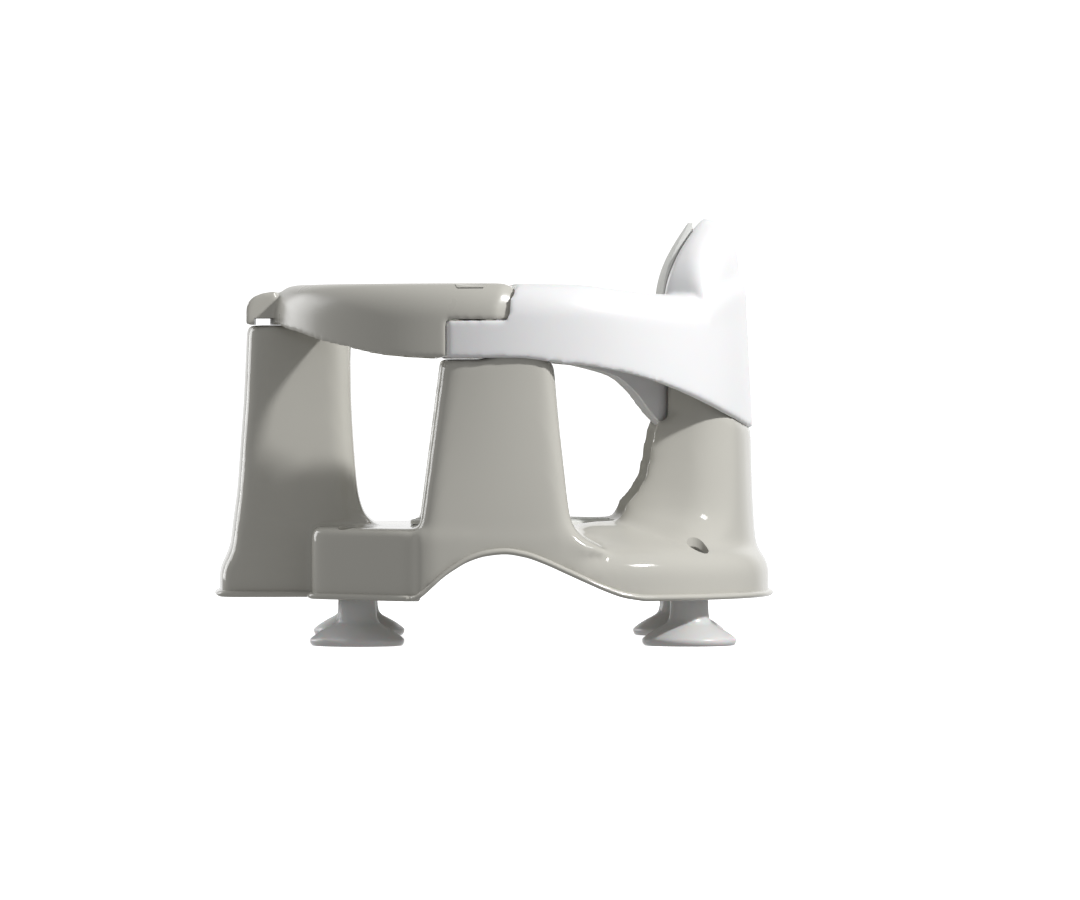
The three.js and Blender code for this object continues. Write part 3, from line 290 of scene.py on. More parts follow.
CUP_FLARE = [
    (29.3, 0.9), (29.9, 2.2), (30.0, 3.7), (29.5, 4.6), (27.9, 6.0), (25.2, 8.0), (22.2, 9.8), (19.4, 11.4),
    (16.8, 12.7), (14.9, 13.9), (13.6, 15.3), (12.9, 17.2), (12.4, 20.0), (12.2, 24.0), (12.1, 30.0),
]
CUP_HEAD = [(8.0, 0.0), (8.0, 1.6), (7.2, 3.2), (4.0, 7.6), (2.0, 8.5), (0.0, 8.5)]
VENT_RADIUS = 7.0
VENT_SHIFT = (5.0, 8.0)

# Mat and pad
MAT_RADIUS = 66.0
MAT_THICK = 3.0
MAT_EDGE = 1.2
MAT_EDGE_STEPS = 4
MAT_TURNS = 96
MAT_GAP = 0.3
MAT_MARGIN = 4.0
RIB_PITCH = 7.0
RIB_HEIGHT = 0.8
RIB_FOOT = 1.1
RIB_CREST = 0.6
RIB_LEAST_RADIUS = 5.0
PAD_THICK = 3.7
PAD_GAP = 0.3
PAD_HALF = 34.8
PAD_LOW = 165.0
PAD_SHOULDER = 222.0
PAD_RISE = 48.5
PAD_POWER = 1.8
PAD_ROOT = 0.6
PAD_THINNING = 0.6
PAD_THINNING_POWER = 8
PAD_ROUND = 1.5
PAD_ROUND_STEPS = 4
PAD_CROWN = 0.5
PAD_CROWN_SHARES = (0.9, 0.75, 0.55, 0.35, 0.2)
PAD_STEPS = 56

# Fineness of the smoothed mouldings
BASE_VOXEL = 2.3
BASE_ROUNDS = 7
HOLLOW_ROUNDS = 1
HOLLOW_SHARE = 0.25
RING_VOXEL = 1.4
RING_ROUNDS = 5


# Numbers
def mix(a, b, share):
    return a + (b - a) * share


def smooth_step(low, high, value):
    t = min(1.0, max(0.0, (value - low) / (high - low)))
    return t * t * (3 - 2 * t)


def share_at(table, place, column=1):
    """Smooth value of a table at a place, with no overshoot between its rows."""
    rows = [(row[0], row[column]) for row in table]
    if place <= rows[0][0]:
        return rows[0][1]
    if place >= rows[-1][0]:
        return rows[-1][1]
    i = max(k for k in range(len(rows) - 1) if rows[k][0] <= place)

    def slope(k):
        return (rows[k + 1][1] - rows[k][1]) / (rows[k + 1][0] - rows[k][0])

    def tangent(k):
        if k == 0 or k == len(rows) - 1:
            return slope(min(k, len(rows) - 2))
        a, b = slope(k - 1), slope(k)
        return 0.0 if a * b <= 0 else 2 * a * b / (a + b)

    span = rows[i + 1][0] - rows[i][0]
    t = (place - rows[i][0]) / span
    a, b = rows[i][1], rows[i + 1][1]
    m0, m1 = tangent(i) * span, tangent(i + 1) * span
    return (
        a * (2 * t**3 - 3 * t**2 + 1) + m0 * (t**3 - 2 * t**2 + t)
        + b * (3 * t**2 - 2 * t**3) + m1 * (t**3 - t**2)
    )


def from_rear(angle):
    """Degrees between a direction and straight back."""
    return abs((angle + 180) % 360 - 180)


def by_index(table):
    """The same rows, numbered from 0 to 1 in their first column."""
    last = len(table) - 1
    return [(i / last, *row) for i, row in enumerate(table)]


HEADREST_BACK_CURVE = by_index(HEADREST_BACK)
HEADREST_FRONT_CURVE = by_index(HEADREST_FRONT)
REAR_CROWN_CURVE = by_index(REAR_CROWN)
DECK_CROWN_CURVE = by_index(DECK_CROWN)
BOWL_CURVE = by_index(BOWL_SHARES)


# Meshes
def new_object(name, bm):
    mesh = bpy.data.meshes.new(name)
    bm.to_mesh(mesh)
    bm.free()
    piece = bpy.data.objects.new(name, mesh)
    bpy.context.scene.collection.objects.link(piece)
    return piece


def loft(name, rings, ends=True):
    """A skin through rings of equal point counts: a grid whose corners are moved onto the rings.

    With ends, the first and last rings are filled. Without, the last ring meets the first.
    """
    rows = rings if ends else rings + [rings[0]]
    columns = len(rings[0])
    bm = bmesh.new()
    bmesh.ops.create_grid(bm, x_segments=columns, y_segments=len(rows) - 1, size=1)
    corners = sorted(bm.verts, key=lambda v: (round(v.co.y, 6), round(v.co.x, 6)))
    for i, corner in enumerate(corners):
        row, column = divmod(i, columns + 1)
        corner.co = Vector(rows[row][column % columns]) * MM
    bmesh.ops.remove_doubles(bm, verts=bm.verts, dist=MERGE_REACH * MM)
    if ends:
        open_edges = [e for e in bm.edges if e.is_boundary]
        bmesh.ops.holes_fill(bm, edges=open_edges, sides=0)
    bmesh.ops.recalc_face_normals(bm, faces=bm.faces)
    return new_object(name, bm)


def lathe(name, outline, x=0.0, y=0.0, steps=64):
    """A closed outline from axis to axis, or a closed loop, spun once about a vertical axis."""
    bm = bmesh.new()
    points = [bm.verts.new(Vector((x + r, y, z)) * MM) for r, z in outline]
    edges = [bm.edges.new(pair) for pair in zip(points, points[1:])]
    if outline[0][0] > 0:
        edges.append(bm.edges.new((points[-1], points[0])))
    bmesh.ops.spin(
        bm, geom=points + edges, cent=Vector((x, y, 0)) * MM, axis=(0, 0, 1), angle=2 * math.pi,
        steps=steps, use_merge=True,
    )
    bmesh.ops.remove_doubles(bm, verts=bm.verts, dist=MERGE_REACH * MM)
    bmesh.ops.recalc_face_normals(bm, faces=bm.faces)
    return new_object(name, bm)


def cylinder(radius, low, high, x, y, steps=64):
    bm = bmesh.new()
    place = Matrix.Translation(Vector((x, y, (low + high) / 2)) * MM)
    bmesh.ops.create_cone(
        bm, cap_ends=True, segments=steps, radius1=radius * MM, radius2=radius * MM,
        depth=(high - low) * MM, matrix=place,
    )
    return new_object("tool", bm)


def box(low, high):
    bm = bmesh.new()
    size = [(b - a) * MM for a, b in zip(low, high)]
    middle = Vector([(a + b) / 2 for a, b in zip(low, high)]) * MM
    bmesh.ops.create_cube(bm, size=1, matrix=Matrix.Translation(middle) @ Matrix.Diagonal((*size, 1)))
    return new_object("tool", bm)


def ball(radius, x, y, z):
    bm = bmesh.new()
    place = Matrix.Translation(Vector((x, y, z)) * MM)
    bmesh.ops.create_uvsphere(bm, u_segments=128, v_segments=96, radius=radius * MM, matrix=place)
    return new_object("tool", bm)


def bake(piece):
    """Turns a piece's modifiers into its mesh."""
    graph = bpy.context.evaluated_depsgraph_get()
    mesh = bpy.data.meshes.new_from_object(piece.evaluated_get(graph))
    piece.modifiers.clear()
    piece.data = mesh
    return piece


def combine(piece, tools, operation):
    for tool in tools:
        step = piece.modifiers.new("solid", "BOOLEAN")
        step.operation = operation
        step.solver = "EXACT"
        step.object = tool
        bake(piece)
        bpy.data.objects.remove(tool)
    return piece


def add(piece, *tools):
    return combine(piece, tools, "UNION")


def cut(piece, *tools):
    return combine(piece, tools, "DIFFERENCE")


def keep(piece, *tools):
    return combine(piece, tools, "INTERSECT")


def join(*pieces):
    """One mesh of closed bodies that may run into each other, for soften to melt together."""
    bm = bmesh.new()
    for piece in pieces:
        bm.from_mesh(piece.data)
        bpy.data.objects.remove(piece)
    return new_object("joined", bm)


def lighten(piece, share):
    """Thins a mesh that only serves as a tool, so that the cut leaves fewer faces."""
    step = piece.modifiers.new("light", "DECIMATE")
    step.ratio = share
    return bake(piece)


def soften(piece, voxel, rounds):
    """Melts the joints between the bodies of a moulding into fillets."""
    step = piece.modifiers.new("skin", "REMESH")
    step.mode = "VOXEL"
    step.voxel_size = voxel * MM
    bake(piece)
    bm = bmesh.new()
    bm.from_mesh(piece.data)
    for _ in range(rounds):
        bmesh.ops.smooth_vert(
            bm, verts=bm.verts, factor=0.5, use_axis_x=True, use_axis_y=True, use_axis_z=True,
        )
    bm.to_mesh(piece.data)
    bm.free()
    return piece


def shade(piece, degrees=35.0):
    for face in piece.data.polygons:
        face.use_smooth = True
    bm = bmesh.new()
    bm.from_mesh(piece.data)
    limit = math.radians(degrees)
    for edge in bm.edges:
        edge.smooth = len(edge.link_faces) == 2 and edge.calc_face_angle(0.0) < limit
    bm.to_mesh(piece.data)
    bm.free()
    return piece


# Ring
def foot_at(angle):
    rear = share_at(REAR_FOOT_SHARES, from_rear(angle)) * (RING_FOOT - REAR_FOOT)
    front = share_at(GATE_FOOT_SHARES, 180 - from_rear(angle)) * (GATE_FRONT_FOOT - RING_FOOT)
    return RING_FOOT - rear + front


def liner_foot_at(angle):
    rear = share_at(REAR_LINER_SHARES, from_rear(angle)) * (RING_FOOT - REAR_FOOT)
    front = share_at(GATE_LINER_SHARES, 180 - from_rear(angle)) * (GATE_FRONT_FOOT - RING_FOOT)
    return RING_FOOT - rear + front


def headrest_point(curve, u):
    depth, height = share_at(curve, u, 1), share_at(curve, u, 2)
    return HEADREST_RADIUS + HEADREST_DEPTH * depth, REAR_TOP + (HEADREST_TOP - REAR_TOP) * height


def ring_profile(angle):
    """Section from the outer foot over the top to the inner foot, as (radius, height)."""
    behind = from_rear(angle)
    top = mix(RING_TOP, REAR_TOP, share_at(REAR_TOP_SHARES, behind))
    rear = smooth_step(90, 0, behind)
    inner = RING_RADIUS - RING_WIDTH
    rise = math.sqrt(max(0.0, 1 - (behind / HEADREST_HALF) ** 2))
    foot_radius = RING_RADIUS - REAR_SET_BACK * rear
    wall_radius = foot_radius - REAR_LEAN * rear
    points = [(foot_radius, foot_at(angle))]
    for i in range(BACK_STEPS + 1):
        u = i / BACK_STEPS
        turn = math.radians(90 * u)
        plain = (
            wall_radius - SHOULDER_WIDTH * (1 - math.cos(turn)),
            top - SHOULDER_DROP * (1 - math.sin(turn)),
        )
        raised = headrest_point(HEADREST_BACK_CURVE, u)
        points.append((mix(plain[0], raised[0], rise), mix(plain[1], raised[1], rise)))
    for i in range(FRONT_STEPS + 1):
        u = i / FRONT_STEPS
        turn = math.radians(90 * u)
        plain = (inner + LIP_WIDTH * (1 - math.sin(turn)), top - LIP_DROP * (1 - math.cos(turn)))
        raised = headrest_point(HEADREST_FRONT_CURVE, u)
        points.append((mix(plain[0], raised[0], rise), mix(plain[1], raised[1], rise)))
    points.append((inner, liner_foot_at(angle)))
    return points


def inset_profile(points, insets, drop):
    """The section moved inwards, with its feet moved down along the walls."""
    last = len(points) - 1
    moved = []
    for i, ((radius, z), inset) in enumerate(zip(points, insets)):
        if i in (0, last):
            above = points[1] if i == 0 else points[last - 1]
            lean = (radius - above[0]) / (above[1] - z) * drop
            moved.append((radius + lean + (inset if i else -inset), z - drop))
            continue
        before = Vector((radius - points[i - 1][0], z - points[i - 1][1])).normalized()
        after = Vector((points[i + 1][0] - radius, points[i + 1][1] - z)).normalized()
        along = (before + after).normalized()
        reach = inset / max(SHARPEST_TURN, along.dot(before))
        moved.append((radius - along.y * reach, z + along.x * reach))
    return moved


def polar(radius, angle, z):
    turn = math.radians(angle)
    return (RING_X + radius * math.cos(turn), radius * math.sin(turn), z)


def sweep(low, high, step, extra=()):
    count = round((high - low) / step)
    return sorted({round(low + i * (high - low) / count, 4) for i in range(count + 1)} | set(extra))


HEADREST_EDGES = [side * a for side in (-1, 1) for a in (33, 34.5, 35.3, 35.8, 36)]
REAR_SWEEP = sweep(*REAR_SPAN, RING_STEP, HEADREST_EDGES)
COARSE_REAR = sweep(*REAR_SPAN, COARSE_STEP, HEADREST_EDGES)
HEAD_EDGES = [start + HEAD_EDGE_STEP * i for start in HEAD_EDGE_STARTS for i in range(HEAD_EDGE_COUNT)]
GATE_SWEEP = sweep(*GATE_SPAN, RING_STEP, HEAD_EDGES)
COARSE_GATE = sweep(*GATE_SPAN, COARSE_STEP, HEAD_EDGES[::2])


def ring_loft(angles, inset=0.0, drop=0.0, ease_at=None):
    rings = []
    for angle in angles:
        profile = ring_profile(angle)
        insets = [inset + (ease_at(radius, angle) if ease_at else 0.0) for radius, _ in profile]
        rings.append([polar(radius, angle, z) for radius, z in inset_profile(profile, insets, drop)])
    return loft("ring", rings)


def head_ease(radius, angle):
    """How far the gate's skin is drawn in beside the end of its round head."""
    x, y, _ = polar(radius, angle, 0.0)
    across = abs(y) - PIVOT_Y
    end_x = PIVOT_X + math.sqrt(max(0.0, HEAD_RADIUS**2 - across**2))
    return HEAD_CHAMFER_DEPTH * min(1.0, max(0.0, 1 - (end_x - x) / HEAD_CHAMFER_WIDTH))


def heads(radius):
    return [cylinder(radius, 0, CUT_REACH, PIVOT_X, side * PIVOT_Y) for side in (-1, 1)]


def tongue_region(radius, top):
    wide = CUT_REACH
    region = box((PIVOT_X - radius, -PIVOT_Y, 0), (wide, PIVOT_Y, top))
    outer = box((PIVOT_X, -wide, 0), (wide, wide, top))
    noses = [cylinder(radius, 0, top, PIVOT_X, side * PIVOT_Y) for side in (-1, 1)]
    return add(region, outer, *noses)


def rear_region(radius, tongue):
    """All that the rear ring may fill: behind the gate's round heads, and the tongues under them."""
    wide = CUT_REACH
    behind = box((PIVOT_X, -wide, 0), (wide, wide, wide))
    cut(behind, *heads(radius))
    return add(behind, tongue)


def head_region(radius):
    wide = CUT_REACH
    return add(box((-wide, -wide, 0), (PIVOT_X, wide, wide)), *heads(radius))


def rear_ring():
    piece = ring_loft(REAR_SWEEP)
    keep(piece, rear_region(HEAD_RADIUS + POCKET_GAP, tongue_region(NOSE_RADIUS, TONGUE_TOP)))
    soften(piece, RING_VOXEL, RING_ROUNDS)
    hollow = ring_loft(COARSE_REAR, SKIN, DROP)
    inner_tongue = tongue_region(NOSE_RADIUS - SKIN, TONGUE_TOP - SKIN)
    keep(hollow, rear_region(HEAD_RADIUS + POCKET_GAP + SKIN, inner_tongue))
    cut(piece, hollow, cylinder(BUSH_BORE, 0, CUT_REACH, PIVOT_X, -PIVOT_Y))
    slot = box(
        (PIVOT_X - RING_WIDTH, PIVOT_Y - SLOT_HALF, SLOT_FLOOR),
        (PIVOT_X, PIVOT_Y + SLOT_HALF, CUT_REACH),
    )
    cut(piece, slot, cylinder(SLOT_HALF, SLOT_FLOOR, CUT_REACH, PIVOT_X, PIVOT_Y))
    return piece


def hood_prism(points, half):
    return loft("hood", [[(x, y, z) for x, z in points] for y in (-half, half)])


def hood():
    """The hood's body, and the rooms to cut from the gate for the crotch post."""

    def profile(back):
        front = HOOD_FRONT + back
        steps = [i / HOOD_STEPS for i in range(HOOD_STEPS + 1)]
        return [
            (mix(front, HOOD_BACK, s**2), mix(HOOD_LIP_TOP, HOOD_TOP, share_at(HOOD_OUTLINE, s**2)) - back)
            for s in steps
        ]

    foot = [(HOOD_BACK, GATE_FRONT_FOOT), (HOOD_FRONT, GATE_FRONT_FOOT)]
    body = hood_prism(foot + profile(0.0), HOOD_HALF)
    lip_back = HOOD_FRONT + HOOD_LIP
    inner = [p for p in profile(HOOD_WALL) if p[0] > lip_back]
    room = hood_prism([(HOOD_BACK, 0), (lip_back, 0), (lip_back, inner[0][1]), *inner], HOOD_HALF - HOOD_WALL)
    slot = box((lip_back, -CUT_REACH, 0), (HOOD_BACK, CUT_REACH, HOOD_SLOT_TOP))
    return body, [room, slot]


def dish(side):
    """The ball that leaves a shallow finger dish in the gate's top."""
    radius = (DISH_RADIUS**2 + DISH_DEPTH**2) / (2 * DISH_DEPTH)
    return ball(radius, PIVOT_X, side * PIVOT_Y, RING_TOP - DISH_DEPTH + radius)


def gate_shell():
    piece = ring_loft(GATE_SWEEP, ease_at=head_ease)
    keep(piece, head_region(HEAD_RADIUS))
    cut(piece, tongue_region(NOSE_RADIUS + NOSE_GAP, TONGUE_TOP + HEAD_GAP))
    shell, rooms = hood()
    add(piece, shell)
    soften(piece, RING_VOXEL, RING_ROUNDS)
    hollow = ring_loft(COARSE_GATE, SKIN, DROP, head_ease)
    keep(hollow, head_region(HEAD_RADIUS - SKIN))
    cut(hollow, tongue_region(NOSE_RADIUS + NOSE_GAP + SKIN, TONGUE_TOP + HEAD_GAP + SKIN))
    cut(piece, hollow)
    for room in rooms:
        cut(room, ring_loft(sweep(*HOOD_SPAN, COARSE_STEP), 0.0, DROP))
        cut(piece, room)
    well = CAP_RADIUS + CAP_GAP
    cut(
        piece,
        cylinder(PIN_BORE, 0, CUT_REACH, PIVOT_X, -PIVOT_Y),
        cylinder(well, CAP_WELL_Z, CUT_REACH, PIVOT_X, -PIVOT_Y),
        cylinder(STEM_BORE, 0, CUT_REACH, PIVOT_X, PIVOT_Y),
        cylinder(well, CAP_WELL_Z, CUT_REACH, PIVOT_X, PIVOT_Y),
        dish(-1),
        dish(1),
    )
    return piece


# Base
def plinth_side_y(x, inset):
    side = PLINTH_SIDE - inset
    if x < RING_X:
        return side - PLINTH_TAPER * ((RING_X - x) / (RING_X - PLINTH_FRONT_X)) ** 2
    along = min(1.0, (x - RING_X) / (PLINTH_REAR - inset))
    return side * (1 - along**PLINTH_POWER) ** (1 / PLINTH_POWER)


def plinth_outline(inset, front_inset):
    front_steps, corner_steps, side_steps, rear_steps = PLINTH_STEPS
    front_x = PLINTH_FRONT_X + front_inset
    turn_radius = max(PLINTH_CORNER - front_inset, PLINTH_CORNER_LEAST)
    front_y = plinth_side_y(front_x, inset)
    half = [(front_x, front_y * i / front_steps) for i in range(front_steps)]
    for i in range(corner_steps + 1):
        turn = math.radians(90 * i / corner_steps)
        corner_x = front_x + turn_radius * (1 - math.cos(turn))
        half.append((corner_x, front_y - turn_radius * (1 - math.sin(turn))))
    side_from = front_x + turn_radius
    side_to = mix(RING_X, RING_X + PLINTH_REAR - inset, PLINTH_SIDE_SHARE)
    for i in range(1, side_steps + 1):
        x = mix(side_from, side_to, i / side_steps)
        half.append((x, plinth_side_y(x, inset)))
    start = math.acos(PLINTH_SIDE_SHARE ** (PLINTH_POWER / 2))
    for i in range(1, rear_steps + 1):
        turn = start * (1 - i / rear_steps)
        x = RING_X + (PLINTH_REAR - inset) * math.cos(turn) ** (2 / PLINTH_POWER)
        half.append((x, (PLINTH_SIDE - inset) * math.sin(turn) ** (2 / PLINTH_POWER)))
    return half + [(x, -y) for x, y in half[-2:0:-1]]


def arch_z(x):
    along = (x - ARCH_START) / (ARCH_END - ARCH_START)
    return 0.0 if along <= 0 or along >= 1 else ARCH_RISE * share_at(ARCH_SHARES, along)


def plinth_body(inset):
    rings = []
    if inset > 0:
        rings.append([(x, y, 0.0) for x, y in plinth_outline(inset, inset)])
    else:
        rings.append([(x, y, FOOT_Z + arch_z(x)) for x, y in plinth_outline(0.0, 0.0)])
    for i in range(CROWN_STEPS + 1):
        u = i / CROWN_STEPS
        rear_inset, rear_rise = share_at(REAR_CROWN_CURVE, u, 1), share_at(REAR_CROWN_CURVE, u, 2)
        deck_inset, deck_rise = share_at(DECK_CROWN_CURVE, u, 1), share_at(DECK_CROWN_CURVE, u, 2)
        rear_z = mix(PLINTH_WALL_Z, PLINTH_CROWN_Z, rear_rise) - inset
        deck_z = mix(PLINTH_WALL_Z, DECK_Z, deck_rise) - inset
        rear = plinth_outline(inset + PLINTH_REACH * rear_inset, inset)
        deck_front = inset + PLINTH_REACH * deck_inset / 2
        deck = plinth_outline(inset + PLINTH_REACH * deck_inset, deck_front)
        ring = []
        for (rx, ry), (dx, dy) in zip(rear, deck):
            share = smooth_step(*BLEND_X, dx)
            x, y = mix(dx, rx, share), mix(dy, ry, share)
            z = mix(deck_z, rear_z, share)
            if inset == 0:
                z = max(z, FOOT_Z + arch_z(x) + LEVEL_STEP * (i + 1))
            ring.append((x, y, z))
        rings.append(ring)
    caps = [[(x, 0.0, z) for x, _, z in ring] for ring in (rings[0], rings[-1])]
    return loft("plinth", [caps[0], *rings, caps[1]])


def tray_outline(back):
    slope = (TRAY_FLARE_X - TRAY_FRONT_X) / (TRAY_FLARE_Y - TRAY_HALF)

    def front_at(y):
        past = (abs(y) - TRAY_HALF + back * math.tan(math.radians(TRAY_TURN / 2))) * slope / TRAY_SOFT
        return TRAY_FRONT_X + back + TRAY_SOFT * math.log1p(math.exp(past))

    places = [share * (TRAY_FLARE_Y - back) for share in TRAY_SHARES]
    ys = [-y for y in places[:0:-1]] + places
    end = places[-1]
    return [(front_at(y), y) for y in ys] + [(-back, end), (-back, -end)]


def tray_body(inset):
    levels = [(inset, 0.0 if inset else FOOT_Z), (inset, DECK_Z - inset - TRAY_EDGE)]
    for i in range(1, TRAY_EDGE_STEPS + 1):
        turn = math.radians(90 * i / TRAY_EDGE_STEPS)
        back = inset + TRAY_EDGE * (1 - math.cos(turn))
        levels.append((back, DECK_Z - inset - TRAY_EDGE * (1 - math.sin(turn))))
    return loft("tray", [[(x, y, z) for x, y in tray_outline(back)] for back, z in levels])


def slab(low, high, near_at, far_at, near_round, far_round, steps, near_reach=None):
    """Outline between a near and a far curve, with rounded corners. The near ones may be oblong."""

    def corner(s, across, along):
        left = min(1.0, max(0.0, 1 - min(s - low, high - s) / across))
        return along * (1 - math.sqrt(1 - left**2))

    places = [mix(low, high, (1 - math.cos(math.pi * i / steps)) / 2) for i in range(steps + 1)]
    near = [(s, near_at(s) + corner(s, near_round, near_reach or near_round)) for s in places]
    far = [(s, far_at(s) - corner(s, far_round, far_round)) for s in reversed(places)]
    return near + far


def crotch_outline(toe, heel, spread, back):
    half = CROTCH_HALF + CROTCH_SPREAD * spread - back
    front = CROTCH_FRONT - CROTCH_TOE * toe + back
    rear = CROTCH_BACK + CROTCH_FLARE * heel - back
    outline = slab(
        -half, half, lambda y: front + CROTCH_BULGE * (y / half) ** 2, lambda y: rear,
        max(CROTCH_FRONT_ROUND - back, ROUND_LEAST), max(CROTCH_BACK_ROUND - back, ROUND_LEAST),
        CROTCH_EDGE_STEPS,
    )
    return [(x, y) for y, x in outline]


def crotch_at(height):
    return [share_at(CROTCH_SHARES, height, column) for column in (1, 2, 3)]


def crotch_body(inset):
    rings = []
    for i in range(CROTCH_STEPS + 1):
        height = mix(CROTCH_SHARES[0][0], 1, (i / CROTCH_STEPS) ** CROTCH_CROWDING)
        z = mix(FOOT_Z, CROTCH_TOP, height)
        if i == 0:
            z = 0.0 if inset else FOOT_Z
        if i == CROTCH_STEPS:
            z -= inset
        rings.append([(x, y, z) for x, y in crotch_outline(*crotch_at(height), inset)])
    return loft("crotch", rings)


def side_body(inset, side):
    rings = []
    for i in range(SIDE_STEPS + 1):
        height = (i / SIDE_STEPS) ** SIDE_CROWDING
        front = share_at(SIDE_SHARES, height, 1)
        back = share_at(SIDE_SHARES, height, 2)
        low = SIDE_FRONT_X - SIDE_FRONT_SPREAD * front + inset
        high = SIDE_BACK_X + SIDE_BACK_SPREAD * back - inset
        share = smooth_step(*SIDE_BLEND, height)

        def outer(x):
            ring_y = math.sqrt(SIDE_RADIUS**2 - (x - RING_X) ** 2)
            return mix(plinth_side_y(x, 0.0), ring_y, share) - inset

        outline = slab(
            low, high, lambda x: SIDE_INNER_Y + inset, outer,
            max(SIDE_ROUND - inset, ROUND_LEAST), max(SIDE_ROUND - inset, ROUND_LEAST), SIDE_EDGE_STEPS,
        )
        z = mix(SIDE_START, SIDE_TOP, height) - (0.0 if height == 1 else inset)
        rings.append([(x, side * y, z) for x, y in outline])
    return loft("side", rings)


def bowl_radius(z):
    radius_by_height = [(height, radius) for radius, height in BOWL_SHARES[1:]]
    return BOWL_RADIUS * share_at(radius_by_height, (z - DECK_Z) / BOWL_DEPTH)


def column_slice(radius, half, bowl, far_round, z):
    """Level section of the column: its sides curve in towards the edge of the bowl."""

    def front_at(y):
        return RING_X + math.sqrt(max(bowl**2 - y**2, COLUMN_FRONT**2))

    def back_at(y):
        return RING_X + math.sqrt(radius**2 - y**2)

    room = (back_at(half) - front_at(half)) * COLUMN_CORNER_SHARE
    ease = min(1.0, room / (COLUMN_SIDE_REACH + far_round))
    outline = slab(
        -half, half, front_at, back_at, COLUMN_SIDE_RISE, far_round * ease, COLUMN_EDGE_STEPS,
        COLUMN_SIDE_REACH * ease,
    )
    return [(x, y, z) for y, x in outline]


def column_body(inset):
    rings = []
    for i in range(COLUMN_STEPS + 1):
        height = (i / COLUMN_STEPS) ** COLUMN_CROWDING
        z = mix(COLUMN_START, COLUMN_TOP, height) - (0.0 if height == 1 else inset)
        radius = COLUMN_RADIUS + COLUMN_RADIUS_SPREAD * share_at(COLUMN_SHARES, height, 1) - inset
        spread = COLUMN_STAND_OUT + COLUMN_WIDTH_SPREAD * share_at(COLUMN_SHARES, height, 2)
        half = COLUMN_HALF + spread - inset
        rings.append(column_slice(radius, half, bowl_radius(z) + inset - COLUMN_OVERREACH, COLUMN_ROUND, z))
    return loft("column", rings)


def bowl_body(grow):
    """The room inside the seat's bowl, larger all round by the growth, up to the reach of cuts."""
    inner = []
    for i in range(BOWL_STEPS + 1):
        u = i / BOWL_STEPS
        radius, height = share_at(BOWL_CURVE, u, 1), share_at(BOWL_CURVE, u, 2)
        inner.append((radius * BOWL_RADIUS + grow * height, DECK_Z + BOWL_DEPTH * height - grow))
    rim = inner[-1][0]
    return lathe("bowl", [*inner, (rim, CUT_REACH), (0.0, CUT_REACH)], RING_X, 0.0, BOWL_TURNS)


def bead(outline_at, foot_at_x):
    """The rounded bead along the foot of one body of the moulding."""
    turns = [math.radians(degrees) for degrees in range(BEAD_TURN, 180 + 1, BEAD_TURN)]
    curve = [(BEAD_REACH * math.sin(t), BEAD_HEIGHT / 2 * (1 - math.cos(t))) for t in turns]
    section = [(-BEAD_ROOT, 0.0), *curve, (-BEAD_ROOT, BEAD_HEIGHT)]
    outlines = [outline_at(-out) for out, _ in section]
    count = len(outlines[0])
    rings = []
    for i in range(count):
        ring = []
        for (_, up), outline in zip(section, outlines):
            x, y = outline[i]
            ring.append((x, y, FOOT_Z + foot_at_x(x) + up))
        rings.append(ring)
    return loft("bead", rings, ends=False)


def spigots(inset):
    """The parts of the moulding that stand up into the ring's channel."""
    outer = RING_RADIUS - SKIN - SPIGOT_GAP - inset
    inner = RING_RADIUS - RING_WIDTH + SKIN + SPIGOT_GAP + inset
    turn_radius = SPIGOT_ROUND - inset
    low, high = SIDE_SPIGOT_X
    made = []
    for side in (-1, 1):
        outline = slab(
            low + inset, high - inset, lambda x: math.sqrt(inner**2 - (x - RING_X) ** 2),
            lambda x: math.sqrt(outer**2 - (x - RING_X) ** 2),
            turn_radius, turn_radius, SPIGOT_EDGE_STEPS,
        )
        levels = (SIDE_TOP - SPIGOT_DIP, SPIGOT_TOP - inset)
        made.append(loft("spigot", [[(x, side * y, z) for x, y in outline] for z in levels]))
    half = COLUMN_HALF + COLUMN_STAND_OUT - inset
    narrow = REAR_SET_BACK + REAR_SPIGOT_SET_IN
    levels = [(REAR_FOOT - SPIGOT_DIP, narrow), (REAR_FOOT, narrow), (SPIGOT_TOP - inset, REAR_SPIGOT_NARROW)]
    rings = [column_slice(outer - back, half, inner, REAR_SPIGOT_ROUND, z) for z, back in levels]
    return [*made, loft("spigot", rings)]


def ring_room(gap):
    """The space over the ring's slanted foot, that the moulding under it keeps clear of."""
    inner, outer = RING_RADIUS - RING_WIDTH, RING_RADIUS
    rings = []
    for angle in COARSE_REAR:
        low, high = liner_foot_at(angle) - gap, foot_at(angle) - gap
        section = [
            (inner - ROOM_SIDE, low), (inner, low), (outer, high), (outer + ROOM_SIDE, high),
            (outer + ROOM_SIDE, CUT_REACH), (inner - ROOM_SIDE, CUT_REACH),
        ]
        rings.append([polar(r, angle, z) for r, z in section])
    return loft("room", rings)


def base_form(inset, rounds):
    """The moulding's bodies, set in all round by the inset and melted into one."""
    bodies = [cut(plinth_body(inset), bowl_body(inset))]
    for body in (side_body(inset, 1), side_body(inset, -1), column_body(inset)):
        bodies.append(cut(body, bowl_body(inset), ring_room(inset + RING_GAP)))
    piece = join(*bodies, tray_body(inset), crotch_body(inset), *spigots(inset))
    return soften(piece, BASE_VOXEL, rounds)


